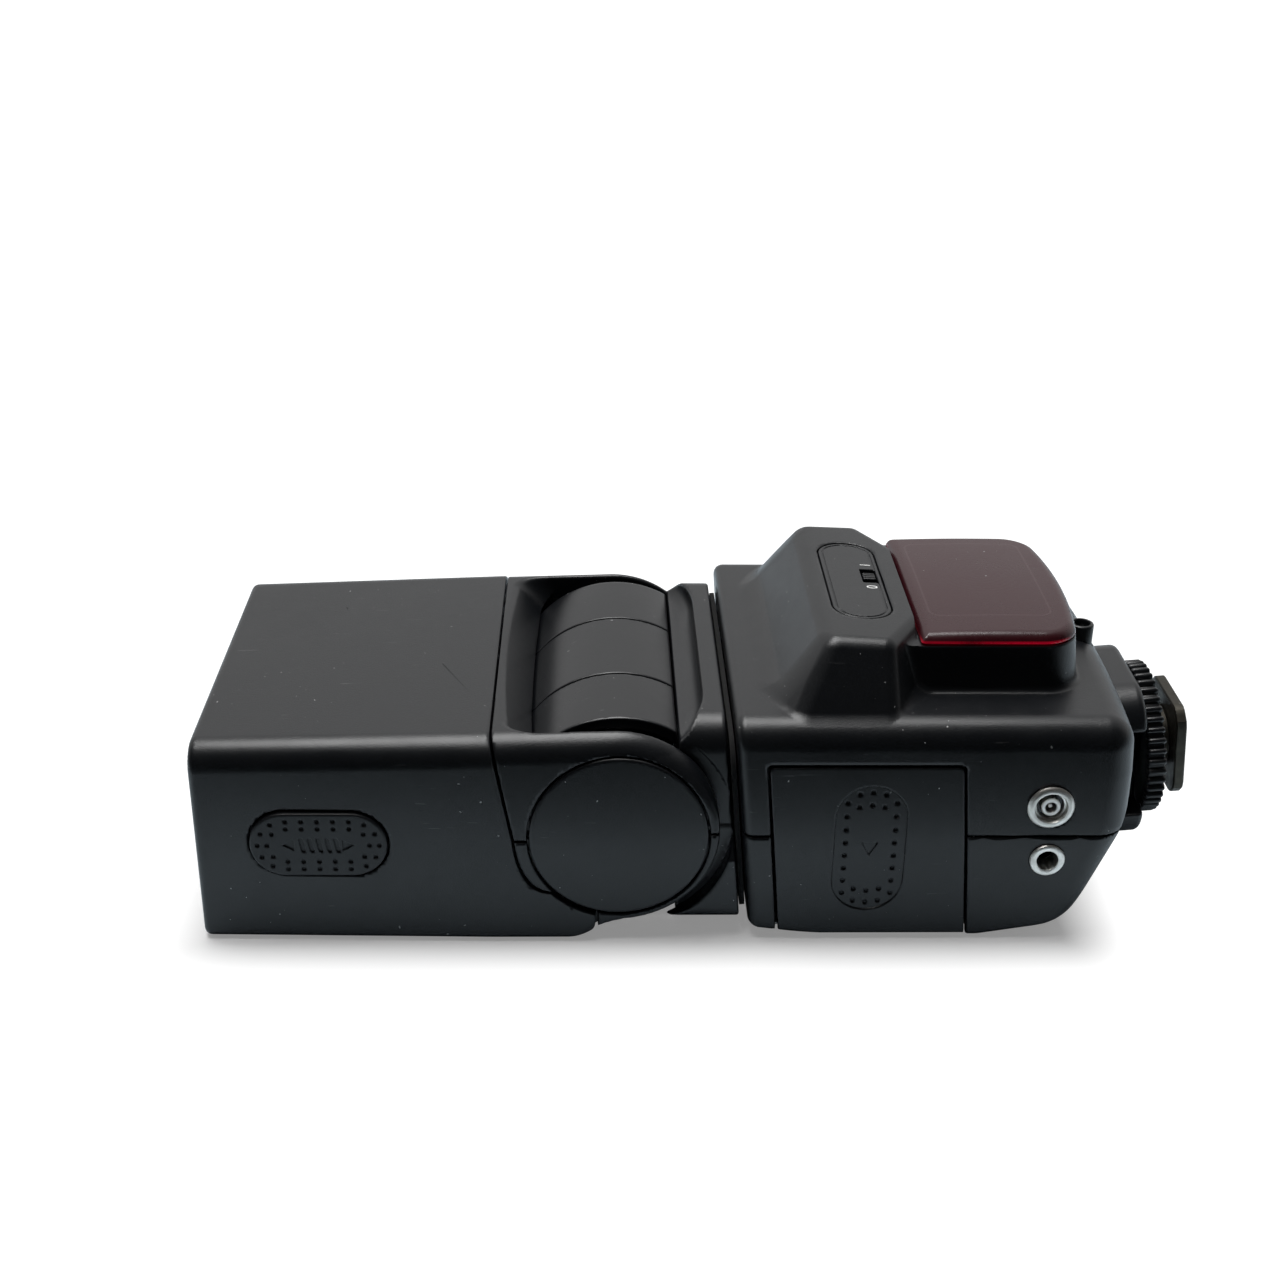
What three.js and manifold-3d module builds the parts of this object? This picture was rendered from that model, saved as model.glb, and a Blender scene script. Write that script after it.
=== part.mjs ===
// Shoe-mount electronic flash with a tilting, swivelling head, lying on its back.
// Millimetres. +X runs from the lens end of the head to the shoe foot, +Z is the front of the
// flash (the side with the red window), -Y is the side with the battery door and the sockets.
import * as THREE from "three";
import { mergeVertices } from "three/addons/utils/BufferGeometryUtils.js";
import Module from "manifold-3d";

const wasm = await Module();
wasm.setup();

// ---------------------------------------------------------------- driving dimensions
const bodyWidth = 76;          // across the side walls at their widest
const sleeveLength = 52.7;     // lens end to the split line, along the front of the head
const headHeight = 41.2;       // back to front of the head at the split line
const headTaper = 1.6;         // how much thinner the head is at the lens end
const headSideTaper = 1.1;     // how much the head narrows on each side at the lens end
const edgeRadius = 5;          // long edges of the head and body
const headWall = 2;            // wall of the head shells
const bodyWall = 2.3;          // wall of the body shells
const armRadius = 18.8;        // round ends of the head's two hinge arms
const armRise = 1.1;           // the round ends sit this much in front of the hinge
const armThickness = 4.7;
const capRim = 2.7;            // rim of the arm round its round cover
const drumRise = 1.2;          // how much larger the barrel between the arms is
const shaftRadius = 4;
const leanAngle = THREE.MathUtils.degToRad(5);  // swivel axis and foot against the back face
const neckGap = 1.5;           // joint between the neck and the body
const swivelRadius = 9;        // hollow shaft of the swivel
const cellRadius = 7.1;        // AA cell
const cellLength = 50.5;
const bayWall = 1.2;
const shoulderRise = 9.6;      // battery bay to the top of the body's shoulder
const seamDrop = 12.3;         // split line of the body to the top of the battery bay
const crestRise = 11.9;        // shoulder to the crest above it
const windowRise = 11.6;       // shoulder to the top of the red window
const windowHalfWidth = 23.1;
const windowLength = 30.4;
const footBayLength = 29.5;    // battery bay to the foot end of the body
const footReach = 18.7;        // foot end of the body to the face of the foot plate
const plateWidth = 18.6;       // hot shoe foot
const plateLength = 19;
const plateThickness = 2.1;
const railGap = 2.1;           // room for the rails of the shoe
const wheelRadius = 15;
const wheelThickness = 3.5;
const stemRadius = 6;
const lensWidth = 60;
const lensHeight = 24.4;
const slotDepth = 9;           // front of the head to the slot of the wide panel and the card
const padLength = 24.5;        // lock buttons on the sides of the head
const padHeight = 12.9;
const padRise = 0.2;           // the pads sit this much in front of the head's middle
const pcRadius = 4.2;          // outer radius of the sync socket
const jackRadius = 3.2;        // outer radius of the jack socket

// clearances
const gap = 0.3;               // between two pieces that touch
const splitGap = 0.35;         // along the split lines of the cases
const runGap = 0.4;            // round a turning or sliding piece

// ---------------------------------------------------------------- derived places
const halfWidth = bodyWidth / 2;
const capRadius = armRadius - capRim;
const drumRadius = armRadius + drumRise;
const hingeX = sleeveLength + 22.9;
const hingeZ = headHeight - armRadius - 0.4;
const seamZ = hingeZ - 0.6;                       // split line of the rear head shell
const neckX = hingeX + armRadius + 1.9;           // neck face, at the hinge's height
const cellPitch = 2 * cellRadius + 0.6;
const bayInside = cellPitch + 2 * cellRadius + 0.6;
const bayX = neckX + neckGap + 7.7;               // left side of the battery bay
const bayZ = 2.7;
const baySize = bayInside + 2 * bayWall;
const bayRight = bayX + baySize;
const bayTop = bayZ + baySize;
const bodySeamZ = bayTop - seamDrop;              // split line of the body
const bayMouthY = -(halfWidth - 5);
const shoulderZ = bayTop + shoulderRise;
const crestZ = shoulderZ + crestRise;
const windowZ = shoulderZ + windowRise;
const bodyEnd = bayRight + footBayLength;
const windowX1 = bodyEnd - 7;
const windowX0 = windowX1 - windowLength;
const plateX = bodyEnd + footReach;
const plateZ = bodySeamZ + 0.4;
const socketX = bodyEnd - 14.7;

// ---------------------------------------------------------------- materials
const material = (color, roughness, metalness = 0) =>
  new THREE.MeshStandardMaterial({ color, roughness, metalness });
const shellBlack = material(0x1d1f21, 0.55);
const trimBlack = material(0x141516, 0.45);
const padBlack = material(0x181a1b, 0.6);
const redClear = material(0x4a0d12, 0.2);
const lensClear = material(0xdfe6e8, 0.15);
const cardWhite = material(0xf2f2ee, 0.6);
const mirrorMetal = material(0xd9dcde, 0.15, 1);
const tubeGlass = material(0xe9edf0, 0.1);
const steel = material(0x9a9da0, 0.35, 1);
const nickel = material(0xcfc9c0, 0.3, 1);
const footMetal = material(0x4b4740, 0.45, 0.9);
const brass = material(0xb08d46, 0.35, 1);
const boardGreen = material(0x1f5a3a, 0.6);
const cellCover = material(0x2f4f7f, 0.4);
const capacitorBlack = material(0x24262b, 0.4);
const frameGrey = material(0x4b4e50, 0.6);

// ---------------------------------------------------------------- helpers
/** Turns a closed three.js geometry into a manifold solid. */
function solid(geometry) {
  const bare = new THREE.BufferGeometry();
  bare.setAttribute("position", geometry.getAttribute("position").clone());
  if (geometry.index) bare.setIndex(geometry.index.clone());
  const merged = mergeVertices(bare, 1e-4);
  return new wasm.Manifold(new wasm.Mesh({
    numProp: 3,
    vertProperties: new Float32Array(merged.getAttribute("position").array),
    triVerts: new Uint32Array(merged.index.array),
  }));
}

/** Makes the named mesh of one piece from its solid. */
function piece(name, body, finish) {
  const { vertProperties, triVerts } = body.getMesh();
  const indexed = new THREE.BufferGeometry();
  indexed.setAttribute("position", new THREE.BufferAttribute(new Float32Array(vertProperties), 3));
  indexed.setIndex(new THREE.BufferAttribute(new Uint32Array(triVerts), 1));
  const geometry = indexed.toNonIndexed();
  geometry.computeVertexNormals();
  const mesh = new THREE.Mesh(geometry, finish);
  mesh.name = name;
  return mesh;
}

/** Solid of a box between two corners. */
function box(x0, x1, y0, y1, z0, z1, matrix) {
  const geometry = new THREE.BoxGeometry(x1 - x0, y1 - y0, z1 - z0);
  geometry.translate((x0 + x1) / 2, (y0 + y1) / 2, (z0 + z1) / 2);
  if (matrix) geometry.applyMatrix4(matrix);
  return solid(geometry);
}

/** Shape through corners [a, b, rounding]; a rounding never takes more than half a side. */
function outline(corners) {
  const shape = new THREE.Shape();
  corners.forEach(([a, b, rounding = 0], i) => {
    const here = new THREE.Vector2(a, b);
    const before = new THREE.Vector2(...corners.at(i - 1).slice(0, 2));
    const after = new THREE.Vector2(...corners[(i + 1) % corners.length].slice(0, 2));
    const shortest = Math.min(here.distanceTo(before), here.distanceTo(after));
    const radius = Math.min(rounding, 0.48 * shortest);
    const start = before.clone().sub(here).setLength(radius).add(here);
    const end = after.clone().sub(here).setLength(radius).add(here);
    if (i === 0) shape.moveTo(start.x, start.y);
    else shape.lineTo(start.x, start.y);
    if (radius > 0) shape.quadraticCurveTo(here.x, here.y, end.x, end.y);
  });
  return shape;
}

const towardsX = new THREE.Matrix4().makeBasis(
  new THREE.Vector3(0, 1, 0), new THREE.Vector3(0, 0, 1), new THREE.Vector3(1, 0, 0));
const towardsY = new THREE.Matrix4().makeBasis(
  new THREE.Vector3(1, 0, 0), new THREE.Vector3(0, 0, 1), new THREE.Vector3(0, -1, 0));

/** Prism of a (Y, Z) shape from x0 to x1. */
function prismX(shape, x0, x1, segments = 5) {
  const geometry = extrude(shape, x1 - x0, segments).applyMatrix4(towardsX);
  return solid(geometry.translate(x0, 0, 0));
}

/** Prism of an (X, Z) shape from y0 to y1. */
function prismY(shape, y0, y1, segments = 5) {
  const geometry = extrude(shape, y1 - y0, segments).applyMatrix4(towardsY);
  return solid(geometry.translate(0, y1, 0));
}

/** Prism of an (X, Y) shape from z0 to z1. */
function prismZ(shape, z0, z1, segments = 5) {
  return solid(extrude(shape, z1 - z0, segments).translate(0, 0, z0));
}

function extrude(shape, depth, curveSegments) {
  return new THREE.ExtrudeGeometry(shape, { depth, bevelEnabled: false, curveSegments });
}

/** Cylinder along an axis ("x", "y" or "z") from a0 to a1 through the point (p, q). */
function rod(axis, radius, a0, a1, p, q, sides = 32, matrix) {
  const geometry = new THREE.CylinderGeometry(radius, radius, a1 - a0, sides);
  const middle = (a0 + a1) / 2;
  if (axis === "x") geometry.rotateZ(-Math.PI / 2).translate(middle, p, q);
  if (axis === "y") geometry.translate(p, middle, q);
  if (axis === "z") geometry.rotateX(Math.PI / 2).translate(p, q, middle);
  if (matrix) geometry.applyMatrix4(matrix);
  return solid(geometry);
}

/** Solid of revolution about an axis from [radius, along] points, closed on themselves. */
function turned(axis, points, p = 0, q = 0, sides = 32) {
  const closed = [...points, points[0]].map(([radius, along]) => new THREE.Vector2(radius, along));
  const geometry = new THREE.LatheGeometry(closed, sides);
  if (axis === "x") geometry.rotateZ(-Math.PI / 2).translate(0, p, q);
  if (axis === "y") geometry.translate(p, 0, q);
  if (axis === "z") geometry.rotateX(Math.PI / 2).translate(p, q, 0);
  return solid(geometry);
}

/** Corner points of a rounded rectangle, counter-clockwise from its lower right corner. */
function roundedRing(a0, a1, b0, b1, radius, steps = 4) {
  const centres = [[a1 - radius, b0 + radius], [a1 - radius, b1 - radius],
    [a0 + radius, b1 - radius], [a0 + radius, b0 + radius]];
  return centres.flatMap(([a, b], corner) =>
    Array.from({ length: steps + 1 }, (_, i) => {
      const angle = (corner - 1 + i / steps) * Math.PI / 2;
      return [a + radius * Math.cos(angle), b + radius * Math.sin(angle)];
    }));
}

/** Closed solid through rings of points, each ring convex and with the same count. */
function loft(rings) {
  const count = rings[0].length;
  const position = rings.flat(2);
  const index = [];
  for (let ring = 0; ring < rings.length - 1; ring += 1) {
    for (let i = 0; i < count; i += 1) {
      const a = ring * count + i;
      const b = ring * count + (i + 1) % count;
      index.push(a, b, b + count, a, b + count, a + count);
    }
  }
  const last = (rings.length - 1) * count;
  for (let i = 1; i < count - 1; i += 1) {
    index.push(0, i + 1, i);
    index.push(last, last + i, last + i + 1);
  }
  const geometry = new THREE.BufferGeometry();
  geometry.setAttribute("position", new THREE.Float32BufferAttribute(position, 3));
  geometry.setIndex(index);
  return solid(geometry);
}

/** Adds up a list of solids. */
const joined = (list) => list.reduce((sum, next) => sum.add(next));

/** Obround (X, Z) shape. */
function obround(x, z, length, height) {
  const r = height / 2;
  const shape = new THREE.Shape();
  shape.absarc(x + length / 2 - r, z, r, -Math.PI / 2, Math.PI / 2);
  shape.absarc(x - length / 2 + r, z, r, Math.PI / 2, 3 * Math.PI / 2);
  return shape;
}

/** Frame whose X runs along the leaning swivel or foot axis. */
function leaningFrame(x, z) {
  const matrix = new THREE.Matrix4().makeRotationY(-leanAngle);
  return matrix.setPosition(x, 0, z);
}
const neckFrame = leaningFrame(neckX, hingeZ);
const footFrame = leaningFrame(plateX, plateZ);

/** X of a line that leans like the swivel face, given its X at the hinge's height. */
const leanX = (x, z) => x - Math.tan(leanAngle) * (z - hingeZ);

// ---------------------------------------------------------------- head sleeve and optics
const headTop = (x) => headHeight - headTaper * (1 - x / sleeveLength);
const headHalf = (x) => halfWidth - headSideTaper * Math.max(0, 1 - x / sleeveLength);
const splitEnd = sleeveLength + 20;

/** Ring across the head at x, drawn in by inset from the outer skin. */
function headRing(x, inset = 0, at = x) {
  const half = headHalf(at) - inset;
  const ring = roundedRing(-half, half, inset, headTop(at) - inset, edgeRadius - 0.6 * inset);
  return ring.map(([y, z]) => [x, y, z]);
}

/** Everything on the lens side of the split line, moved by shift along X and Z. The line
    follows the round cover below the seam in the side walls, which start at wallY. */
function splitSide(shift, wallY) {
  const side = (foot) => {
    const shape = new THREE.Shape();
    shape.moveTo(-10, -5);
    foot(shape);
    shape.lineTo(sleeveLength - 0.9 + shift, headHeight + 5);
    shape.lineTo(-10, headHeight + 5);
    return shape;
  };
  const rim = capRadius + 0.75;
  const [from, to] = [256, 224].map(THREE.MathUtils.degToRad);
  const wall = side((shape) => {
    shape.lineTo(hingeX + rim * Math.cos(from) + shift, -5);
    shape.absarc(hingeX + shift, hingeZ + shift, rim, from, to, true);
    shape.quadraticCurveTo(sleeveLength + 4.9 + shift, 10.4 + shift, sleeveLength + 3.8 + shift,
      seamZ + shift);
  });
  const floor = side((shape) => {
    shape.lineTo(sleeveLength + 16 + shift, -5);
    shape.quadraticCurveTo(sleeveLength + 4.6 + shift, 7, sleeveLength + 3.8 + shift, seamZ);
  });
  return joined([prismY(floor, -bodyWidth, bodyWidth, 6), prismY(wall, -bodyWidth, -wallY, 6),
    prismY(wall, wallY, bodyWidth, 6)]);
}

/** Rise of the underside towards the round ends of the arms. */
function heelCurve(shape) {
  shape.lineTo(hingeX - 9.6, 0);
  shape.quadraticCurveTo(hingeX - 5.1, 0.3, armX - 0.94, armZ - armRadius + 0.02);
}

function heelRoom() {
  const shape = new THREE.Shape();
  shape.moveTo(hingeX - 9.6, -3);
  heelCurve(shape);
  shape.lineTo(armX - 0.94, -3);
  return prismY(shape, -bodyWidth, bodyWidth, 8);
}

const padX = 22.2;
const padZ = headHeight / 2 + padRise;
const padFace = headHalf(padX) + 0.7;

function headSleeve() {
  const outer = loft([headRing(0, 0.8), headRing(0.8), headRing(splitEnd)]);
  const inner = loft([headRing(-1, headWall, 0), headRing(splitEnd + 1, headWall)]);
  const padHole = prismY(
    obround(padX, padZ, padLength + 2 * gap, padHeight + 2 * gap), -bodyWidth, bodyWidth, 8);
  const room = joined([padHole, heelRoom(), hingeRecess(recessHalf)]);
  return outer.subtract(inner).intersect(splitSide(0, halfWidth - headWall))
    .subtract(room);
}

function lockButton(side) {
  const flangeFace = headHalf(padX) - headWall - 0.5;
  const span = (a, b) => (side < 0 ? [-b, -a] : [a, b]);
  const pad = prismY(obround(padX, padZ, padLength, padHeight), ...span(flangeFace - 0.5, padFace), 8);
  const flange = prismY(
    obround(padX, padZ, padLength + 3, padHeight + 3), ...span(flangeFace - 1, flangeFace), 8);
  return pad.add(flange);
}

const frameX0 = 0.7;
const frameX1 = 7;
const slotZ = headHeight - slotDepth;
const lensZ = slotZ - 2.3 - lensHeight / 2;      // middle of the lens and the reflector
const panelHalf = lensWidth / 2 - 0.8;
const panelLength = sleeveLength - 11;

function lensFrame() {
  const outer = loft([headRing(frameX0, headWall + gap), headRing(frameX1, headWall + gap)]);
  const seat = box(-1, 3.8, -lensWidth / 2 - gap, lensWidth / 2 + gap,
    lensZ - lensHeight / 2 - gap, lensZ + lensHeight / 2 + gap);
  const throat = box(3, 9, 1.4 - lensWidth / 2, lensWidth / 2 - 1.4,
    lensZ - lensHeight / 2 + 1.2, lensZ + lensHeight / 2 - 1.2);
  const slot = box(-1, 9, -panelHalf - gap, panelHalf + gap, slotZ - gap, slotZ + 2.5 + gap);
  return outer.subtract(joined([seat, throat, slot]));
}

function frontLens() {
  const ridges = 12;
  const z0 = lensZ - lensHeight / 2;
  const pitch = lensHeight / ridges;
  const corners = [[1.4, z0], [1.4, z0 + lensHeight]];
  for (let i = ridges; i > 0; i -= 1) {
    corners.push([3.5, z0 + i * pitch]);
    corners.push([3, z0 + i * pitch - pitch]);
  }
  corners.splice(-1, 1, [3.5, z0]);
  return prismY(outline(corners), -lensWidth / 2, lensWidth / 2);
}

const widePanel = () => box(1.2, panelLength, -panelHalf, panelHalf, slotZ + 1.3, slotZ + 2.5);
const bounceCard = () => box(1.2, panelLength, -panelHalf, panelHalf, slotZ, slotZ + 0.9);

// The reflector, tube and carriage slide along X behind the lens.
const reflectorBack = sleeveLength - 18.7;
const reflectorDepth = 17;
const reflectorHalf = lensHeight / 2 + 0.3;
const reflectorEnd = lensWidth / 2 - 1.5;
const cheekInside = reflectorEnd + 0.7;
const cheekOutside = cheekInside + 2.1;
const flashTubeX = reflectorBack - 4.5;
const flashTubeRadius = 2.2;
const screwY = 18;
const screwZ = lensZ + 11;
const screwRadius = 1.5;
const motorX = sleeveLength - 9.8;

/** Parabola of the reflector, opening towards the lens. */
function parabola(grow, steps = 8) {
  return Array.from({ length: steps + 1 }, (_, i) => {
    const s = 2 * i / steps - 1;
    return [reflectorBack + grow - (reflectorDepth + grow) * s * s, lensZ + (reflectorHalf + grow) * s];
  });
}

function reflector() {
  const corners = [...parabola(0.7), ...parabola(0).reverse()];
  return prismY(outline(corners), -reflectorEnd, reflectorEnd);
}

function zoomCarriage() {
  const back = reflectorBack + 1.1;
  const plate = box(back, back + 1.8, -cheekOutside, cheekOutside, lensZ - 12.4, lensZ + 12.4);
  const nut = box(back + 1, back + 6, screwY - 3.5, screwY + 3.5, screwZ - 3.5, screwZ + 3);
  const parts = [plate, nut];
  for (const side of [-1, 1]) {
    const y = side * (cheekInside + cheekOutside) / 2;
    parts.push(box(flashTubeX - 4, back + 1, y - 1.05, y + 1.05, lensZ - 6, lensZ + 6));
  }
  const tubeHole = rod("y", flashTubeRadius + gap, -bodyWidth, bodyWidth, flashTubeX, lensZ, 20);
  const screwHole = rod("x", screwRadius + runGap, 0, bodyEnd, screwY, screwZ, 20);
  return joined(parts).subtract(tubeHole).subtract(screwHole);
}

const flashTube = () => rod("y", flashTubeRadius, -cheekOutside, cheekOutside, flashTubeX, lensZ, 20);
const zoomScrew = () => rod("x", screwRadius, reflectorBack - 3, motorX - gap, screwY, screwZ, 20);
const zoomMotor = () => rod("x", 4.4, motorX, motorX + 9.8, screwY, screwZ, 24);

// ---------------------------------------------------------------- rear head shell and hinge
const armInside = halfWidth - armThickness;
const recessHalf = armInside;
const recessRadius = drumRadius + runGap;
const armX = hingeX - 0.7;
const armZ = hingeZ + armRise;
const armTop = armZ + armRadius;
const sweepRadius = armRadius + Math.hypot(0.7, armRise);
const capDepth = 1.4;

/** Cross-section of the cases: widest at the seam, drawn in towards front and back. */
function barrelShape(half, z0, z1, seam, inset = 0) {
  const r = edgeRadius + 0.6 - 0.5 * inset;
  return outline([
    [-half + inset + 0.8, z0 + inset, r], [half - inset - 0.8, z0 + inset, r],
    [half - inset, seam], [half - inset - 0.8, z1 - inset, r],
    [-half + inset + 0.8, z1 - inset, r], [-half + inset, seam]]);
}

/** Side view of the rear shell, with the round ends of the arms. */
function armShape() {
  const shape = new THREE.Shape();
  shape.moveTo(sleeveLength - 12, 0);
  heelCurve(shape);
  shape.absarc(armX, armZ, armRadius, -Math.PI / 2 - 0.05, Math.PI / 2 + 0.05);
  shape.lineTo(sleeveLength, headHeight);
  shape.lineTo(sleeveLength - 12, headHeight);
  return shape;
}

/** Room for the drum between the arms, with the bevel that faces the neck at full tilt. */
function hingeRecess(half) {
  const tall = headHeight + 30;
  const scoop = outline([[sleeveLength + 0.7, headHeight], [hingeX - 20.6, hingeZ + 15],
    [hingeX - 16.7, hingeZ + 11.4], [hingeX + 40, hingeZ + 11.4], [hingeX + 40, tall],
    [sleeveLength + 0.7, tall]]);
  return joined([
    rod("y", recessRadius, -half, half, hingeX, hingeZ, 56),
    box(hingeX - 7.6, hingeX + 40, -half, half, -5, hingeZ),
    box(hingeX, hingeX + 40, -half, half, -5, tall),
    prismY(scoop, -half, half)]);
}

function rearShell() {
  const skin = prismY(armShape(), -halfWidth, halfWidth, 18)
    .intersect(prismX(barrelShape(halfWidth, 0, armTop, seamZ), 0, bodyEnd));
  const inside = box(sleeveLength - 14, sleeveLength + 12, headWall + 0.6 - halfWidth,
    halfWidth - headWall - 0.6, headWall, headHeight - headWall - 0.4);
  const wall = rod("y", recessRadius + headWall, -bodyWidth, bodyWidth, hingeX, hingeZ, 48);
  const scoopWall = prismY(outline([[hingeX - 24.6, headHeight + 2], [hingeX - 22.4, hingeZ + 13.6],
    [hingeX - 18, hingeZ + 9.6], [hingeX, hingeZ + 9.6], [hingeX, headHeight + 2]]),
  -bodyWidth, bodyWidth);
  const shaftHole = rod("y", shaftRadius + gap, -bodyWidth, bodyWidth, hingeX, hingeZ, 28);
  const cuts = [splitSide(splitGap, halfWidth - headWall - gap), hingeRecess(recessHalf), inside.subtract(wall).subtract(scoopWall),
    shaftHole];
  for (const side of [-1, 1]) {
    const y = side * (halfWidth - capDepth);
    const out = side * bodyWidth;
    cuts.push(rod("y", capRadius + 0.25, Math.min(y, out), Math.max(y, out), hingeX, hingeZ, 56));
  }
  return skin.subtract(joined(cuts));
}

function hingeCap(side) {
  const y0 = side * (halfWidth - capDepth + gap);
  const y1 = side * bodyWidth;
  return rod("y", capRadius, Math.min(y0, y1), Math.max(y0, y1), hingeX, hingeZ, 56)
    .intersect(prismX(barrelShape(halfWidth, 0, armTop, seamZ), 0, bodyEnd));
}

const hingeShaft = () =>
  rod("y", shaftRadius, gap + capDepth - halfWidth, halfWidth - gap - capDepth, hingeX, hingeZ, 28);

/** One third of the drum: a cup with a web on the shaft. */
function drumSegment(y0, y1, webAtStart) {
  const web = webAtStart ? [y0, y0 + 2] : [y1 - 2, y1];
  const bore = shaftRadius + gap;
  const inner = drumRadius - 2.2;
  const points = webAtStart
    ? [[bore, y0], [drumRadius, y0], [drumRadius, y1], [inner, y1], [inner, web[1]], [bore, web[1]]]
    : [[bore, web[0]], [inner, web[0]], [inner, y0], [drumRadius, y0], [drumRadius, y1], [bore, y1]];
  return turned("y", points, hingeX, hingeZ, 56).subtract(box(drumFlat, bodyEnd, -99, 99, -20, 60));
}

const drumEnd = armInside - runGap;
const drumSplit = 12;
const drumFlat = hingeX + 10.3;   // the drum ends in a flat against the collar

// ---------------------------------------------------------------- neck
const collarHalf = halfWidth - 1.7;
const collarBottom = hingeZ - armRadius;
const collarTop = hingeZ + 20.3;

function neckCollar() {
  const tongueHalf = armInside - runGap;
  const x0 = drumFlat + gap;
  const lower = prismX(outline([[-collarHalf, collarBottom, 4], [collarHalf, collarBottom, 4],
    [collarHalf, hingeZ], [-collarHalf, hingeZ]]), hingeX + 5, neckX + 6);
  const upper = prismX(outline([[-tongueHalf, hingeZ - 4], [tongueHalf, hingeZ - 4],
    [tongueHalf, collarTop, 5], [-tongueHalf, collarTop, 5]]), x0, neckX + 6);
  const swept = rod("y", sweepRadius + 0.5, -bodyWidth, bodyWidth, hingeX, hingeZ, 56)
    .subtract(box(0, bodyEnd, -tongueHalf, tongueHalf, -10, headHeight + 20));
  const drumRoom = box(0, x0, -tongueHalf - gap, tongueHalf + gap, -10, headHeight + 20);
  const dish = prismY(outline([[x0 - 2, hingeZ + 15.8], [hingeX + 12.4, hingeZ + 16.6],
    [hingeX + 15.3, hingeZ + 19.9], [hingeX + 15.3, headHeight + 20], [x0 - 2, headHeight + 20]]),
  -bodyWidth, bodyWidth);
  const beyond = box(0, 30, -bodyWidth, bodyWidth, -40, 60, neckFrame);
  const shaftHole = rod("x", swivelRadius + gap, -20, 20, 0, 0, 36, neckFrame);
  return lower.add(upper).subtract(joined([swept, drumRoom, dish, beyond, shaftHole]));
}

/** Friction plate that fills the joint, in the neck's leaning frame. */
function swivelDisc() {
  const half = collarHalf - 4.8;
  const shape = outline([[-half, 3 - armRadius, 6], [half, 3 - armRadius, 6],
    [half, armRadius - 1.3, 6], [-half, armRadius - 1.3, 6]]);
  return prismX(shape, gap, neckGap - gap)
    .subtract(rod("x", swivelRadius + gap, -1, 5, 0, 0, 40));
}

/** Hollow shaft with the flange that holds it inside the body, in the leaning frame. */
function swivelShaft() {
  const bore = swivelRadius - 3;
  const start = -2.6;
  const flange = neckGap + bodyWall + 0.6;
  return turned("x", [[bore, start], [swivelRadius, start], [swivelRadius, flange],
    [swivelRadius + 4, flange], [swivelRadius + 4, flange + 1.6], [bore, flange + 1.6]], 0, 0, 36);
}

// ---------------------------------------------------------------- body shells
const bulge = 2;               // how far the foot end swells out at its middle

/** Plan of the body: straight sides and a slightly swelling foot end. */
function planShape(inset) {
  const half = halfWidth - inset;
  const end = bodyEnd - inset;
  const r = 8 - 0.6 * inset;
  return outline([[neckX - 20, -half], [end, -half, r], [end + 0.7 * bulge, -half / 2, 6],
    [end + bulge, 0, 10], [end + 0.7 * bulge, half / 2, 6], [end, half, r], [neckX - 20, half]]);
}

/** Side view of the body without the crest. */
function sideShape(inset) {
  const end = bodyEnd + bulge - inset;
  return outline([
    [neckX - 10, 3.6 + inset], [neckX + neckGap + 15, inset, 4], [bodyEnd - 25, inset, 8],
    [bodyEnd - 10, 2.6 + inset, 5], [end - 6.5, 6.5 + inset, 4], [end - 0.4, bodySeamZ, 5],
    [end, shoulderZ - 9, 4], [end - 1.6, shoulderZ - inset, 4], [neckX - 10, shoulderZ - inset]]);
}

function shoulderShape(inset) {
  const half = halfWidth - inset;
  const r = edgeRadius - 0.6 * inset;
  return outline([[-half + 0.9, inset, r], [half - 0.9, inset, r], [half, bodySeamZ],
    [half - 0.9, shoulderZ - inset, r], [-half + 0.9, shoulderZ - inset, r], [-half, bodySeamZ]]);
}

const baseForm = (inset) => prismZ(planShape(inset), -5, headHeight + 40, 6)
  .intersect(prismY(sideShape(inset), -bodyWidth, bodyWidth, 5))
  .intersect(prismX(shoulderShape(inset), neckX - 10, bodyEnd + 20, 5));

const labelX0 = windowX0 - 14.7;
const labelX1 = windowX0 - 4;
const labelDrop = 0.5;         // fall of the label face towards the window
const crestX0 = windowX0 - 17.6;
const crestHalf = 26.5;

/** Crest between the neck and the window: a ramp, a label face and steep facets each side. */
function crestForm(inset) {
  const foot = shoulderZ - 0.8;
  const ring = (z, x0, x1, corner, end) => {
    const near = [[x0, -corner[0]], [x0 + corner[1], -corner[2]], [x1, -corner[2]], end];
    const far = near.map(([x, y]) => [x, -y]).reverse();
    return [...near, ...far].map(([x, y]) => [x, y, z]);
  };
  const rampFoot = neckX + neckGap + 4.4 + inset;
  const lowHalf = halfWidth - 2.2 - inset;
  const low = ring(foot, rampFoot, windowX0 - 6, [26.8 - inset, 5.8, lowHalf],
    [windowX0 + 2.4, 1.6 - windowHalfWidth - 3 + inset]);
  const high = ring(crestZ - inset, crestX0 + inset, windowX0 - 8,
    [crestHalf - 0.9 - inset, 1, crestHalf - inset], [windowX0 - 2.6, 0.6 - windowHalfWidth + inset]);
  const fall = prismY(outline([[neckX - 20, foot - 2], [windowX0 + 20, foot - 2],
    [windowX0 + 20, windowZ - inset], [windowX0 - 0.6, windowZ - inset],
    [labelX1 + 0.6, crestZ - labelDrop - inset], [labelX0 - 0.4, crestZ - inset],
    [neckX - 20, crestZ + 3 - inset]]), -bodyWidth, bodyWidth);
  return loft([low, high]).intersect(fall);
}

/** Plan of the window block, with its swelling foot end. */
function windowPlan(inset) {
  const half = windowHalfWidth - inset;
  const x1 = windowX1 - inset;
  return outline([[windowX0 + inset, -half, 1], [x1 - 2, -half, 7], [x1, 0, 12], [x1 - 2, half, 7],
    [windowX0 + inset, half, 1]]);
}

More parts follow.
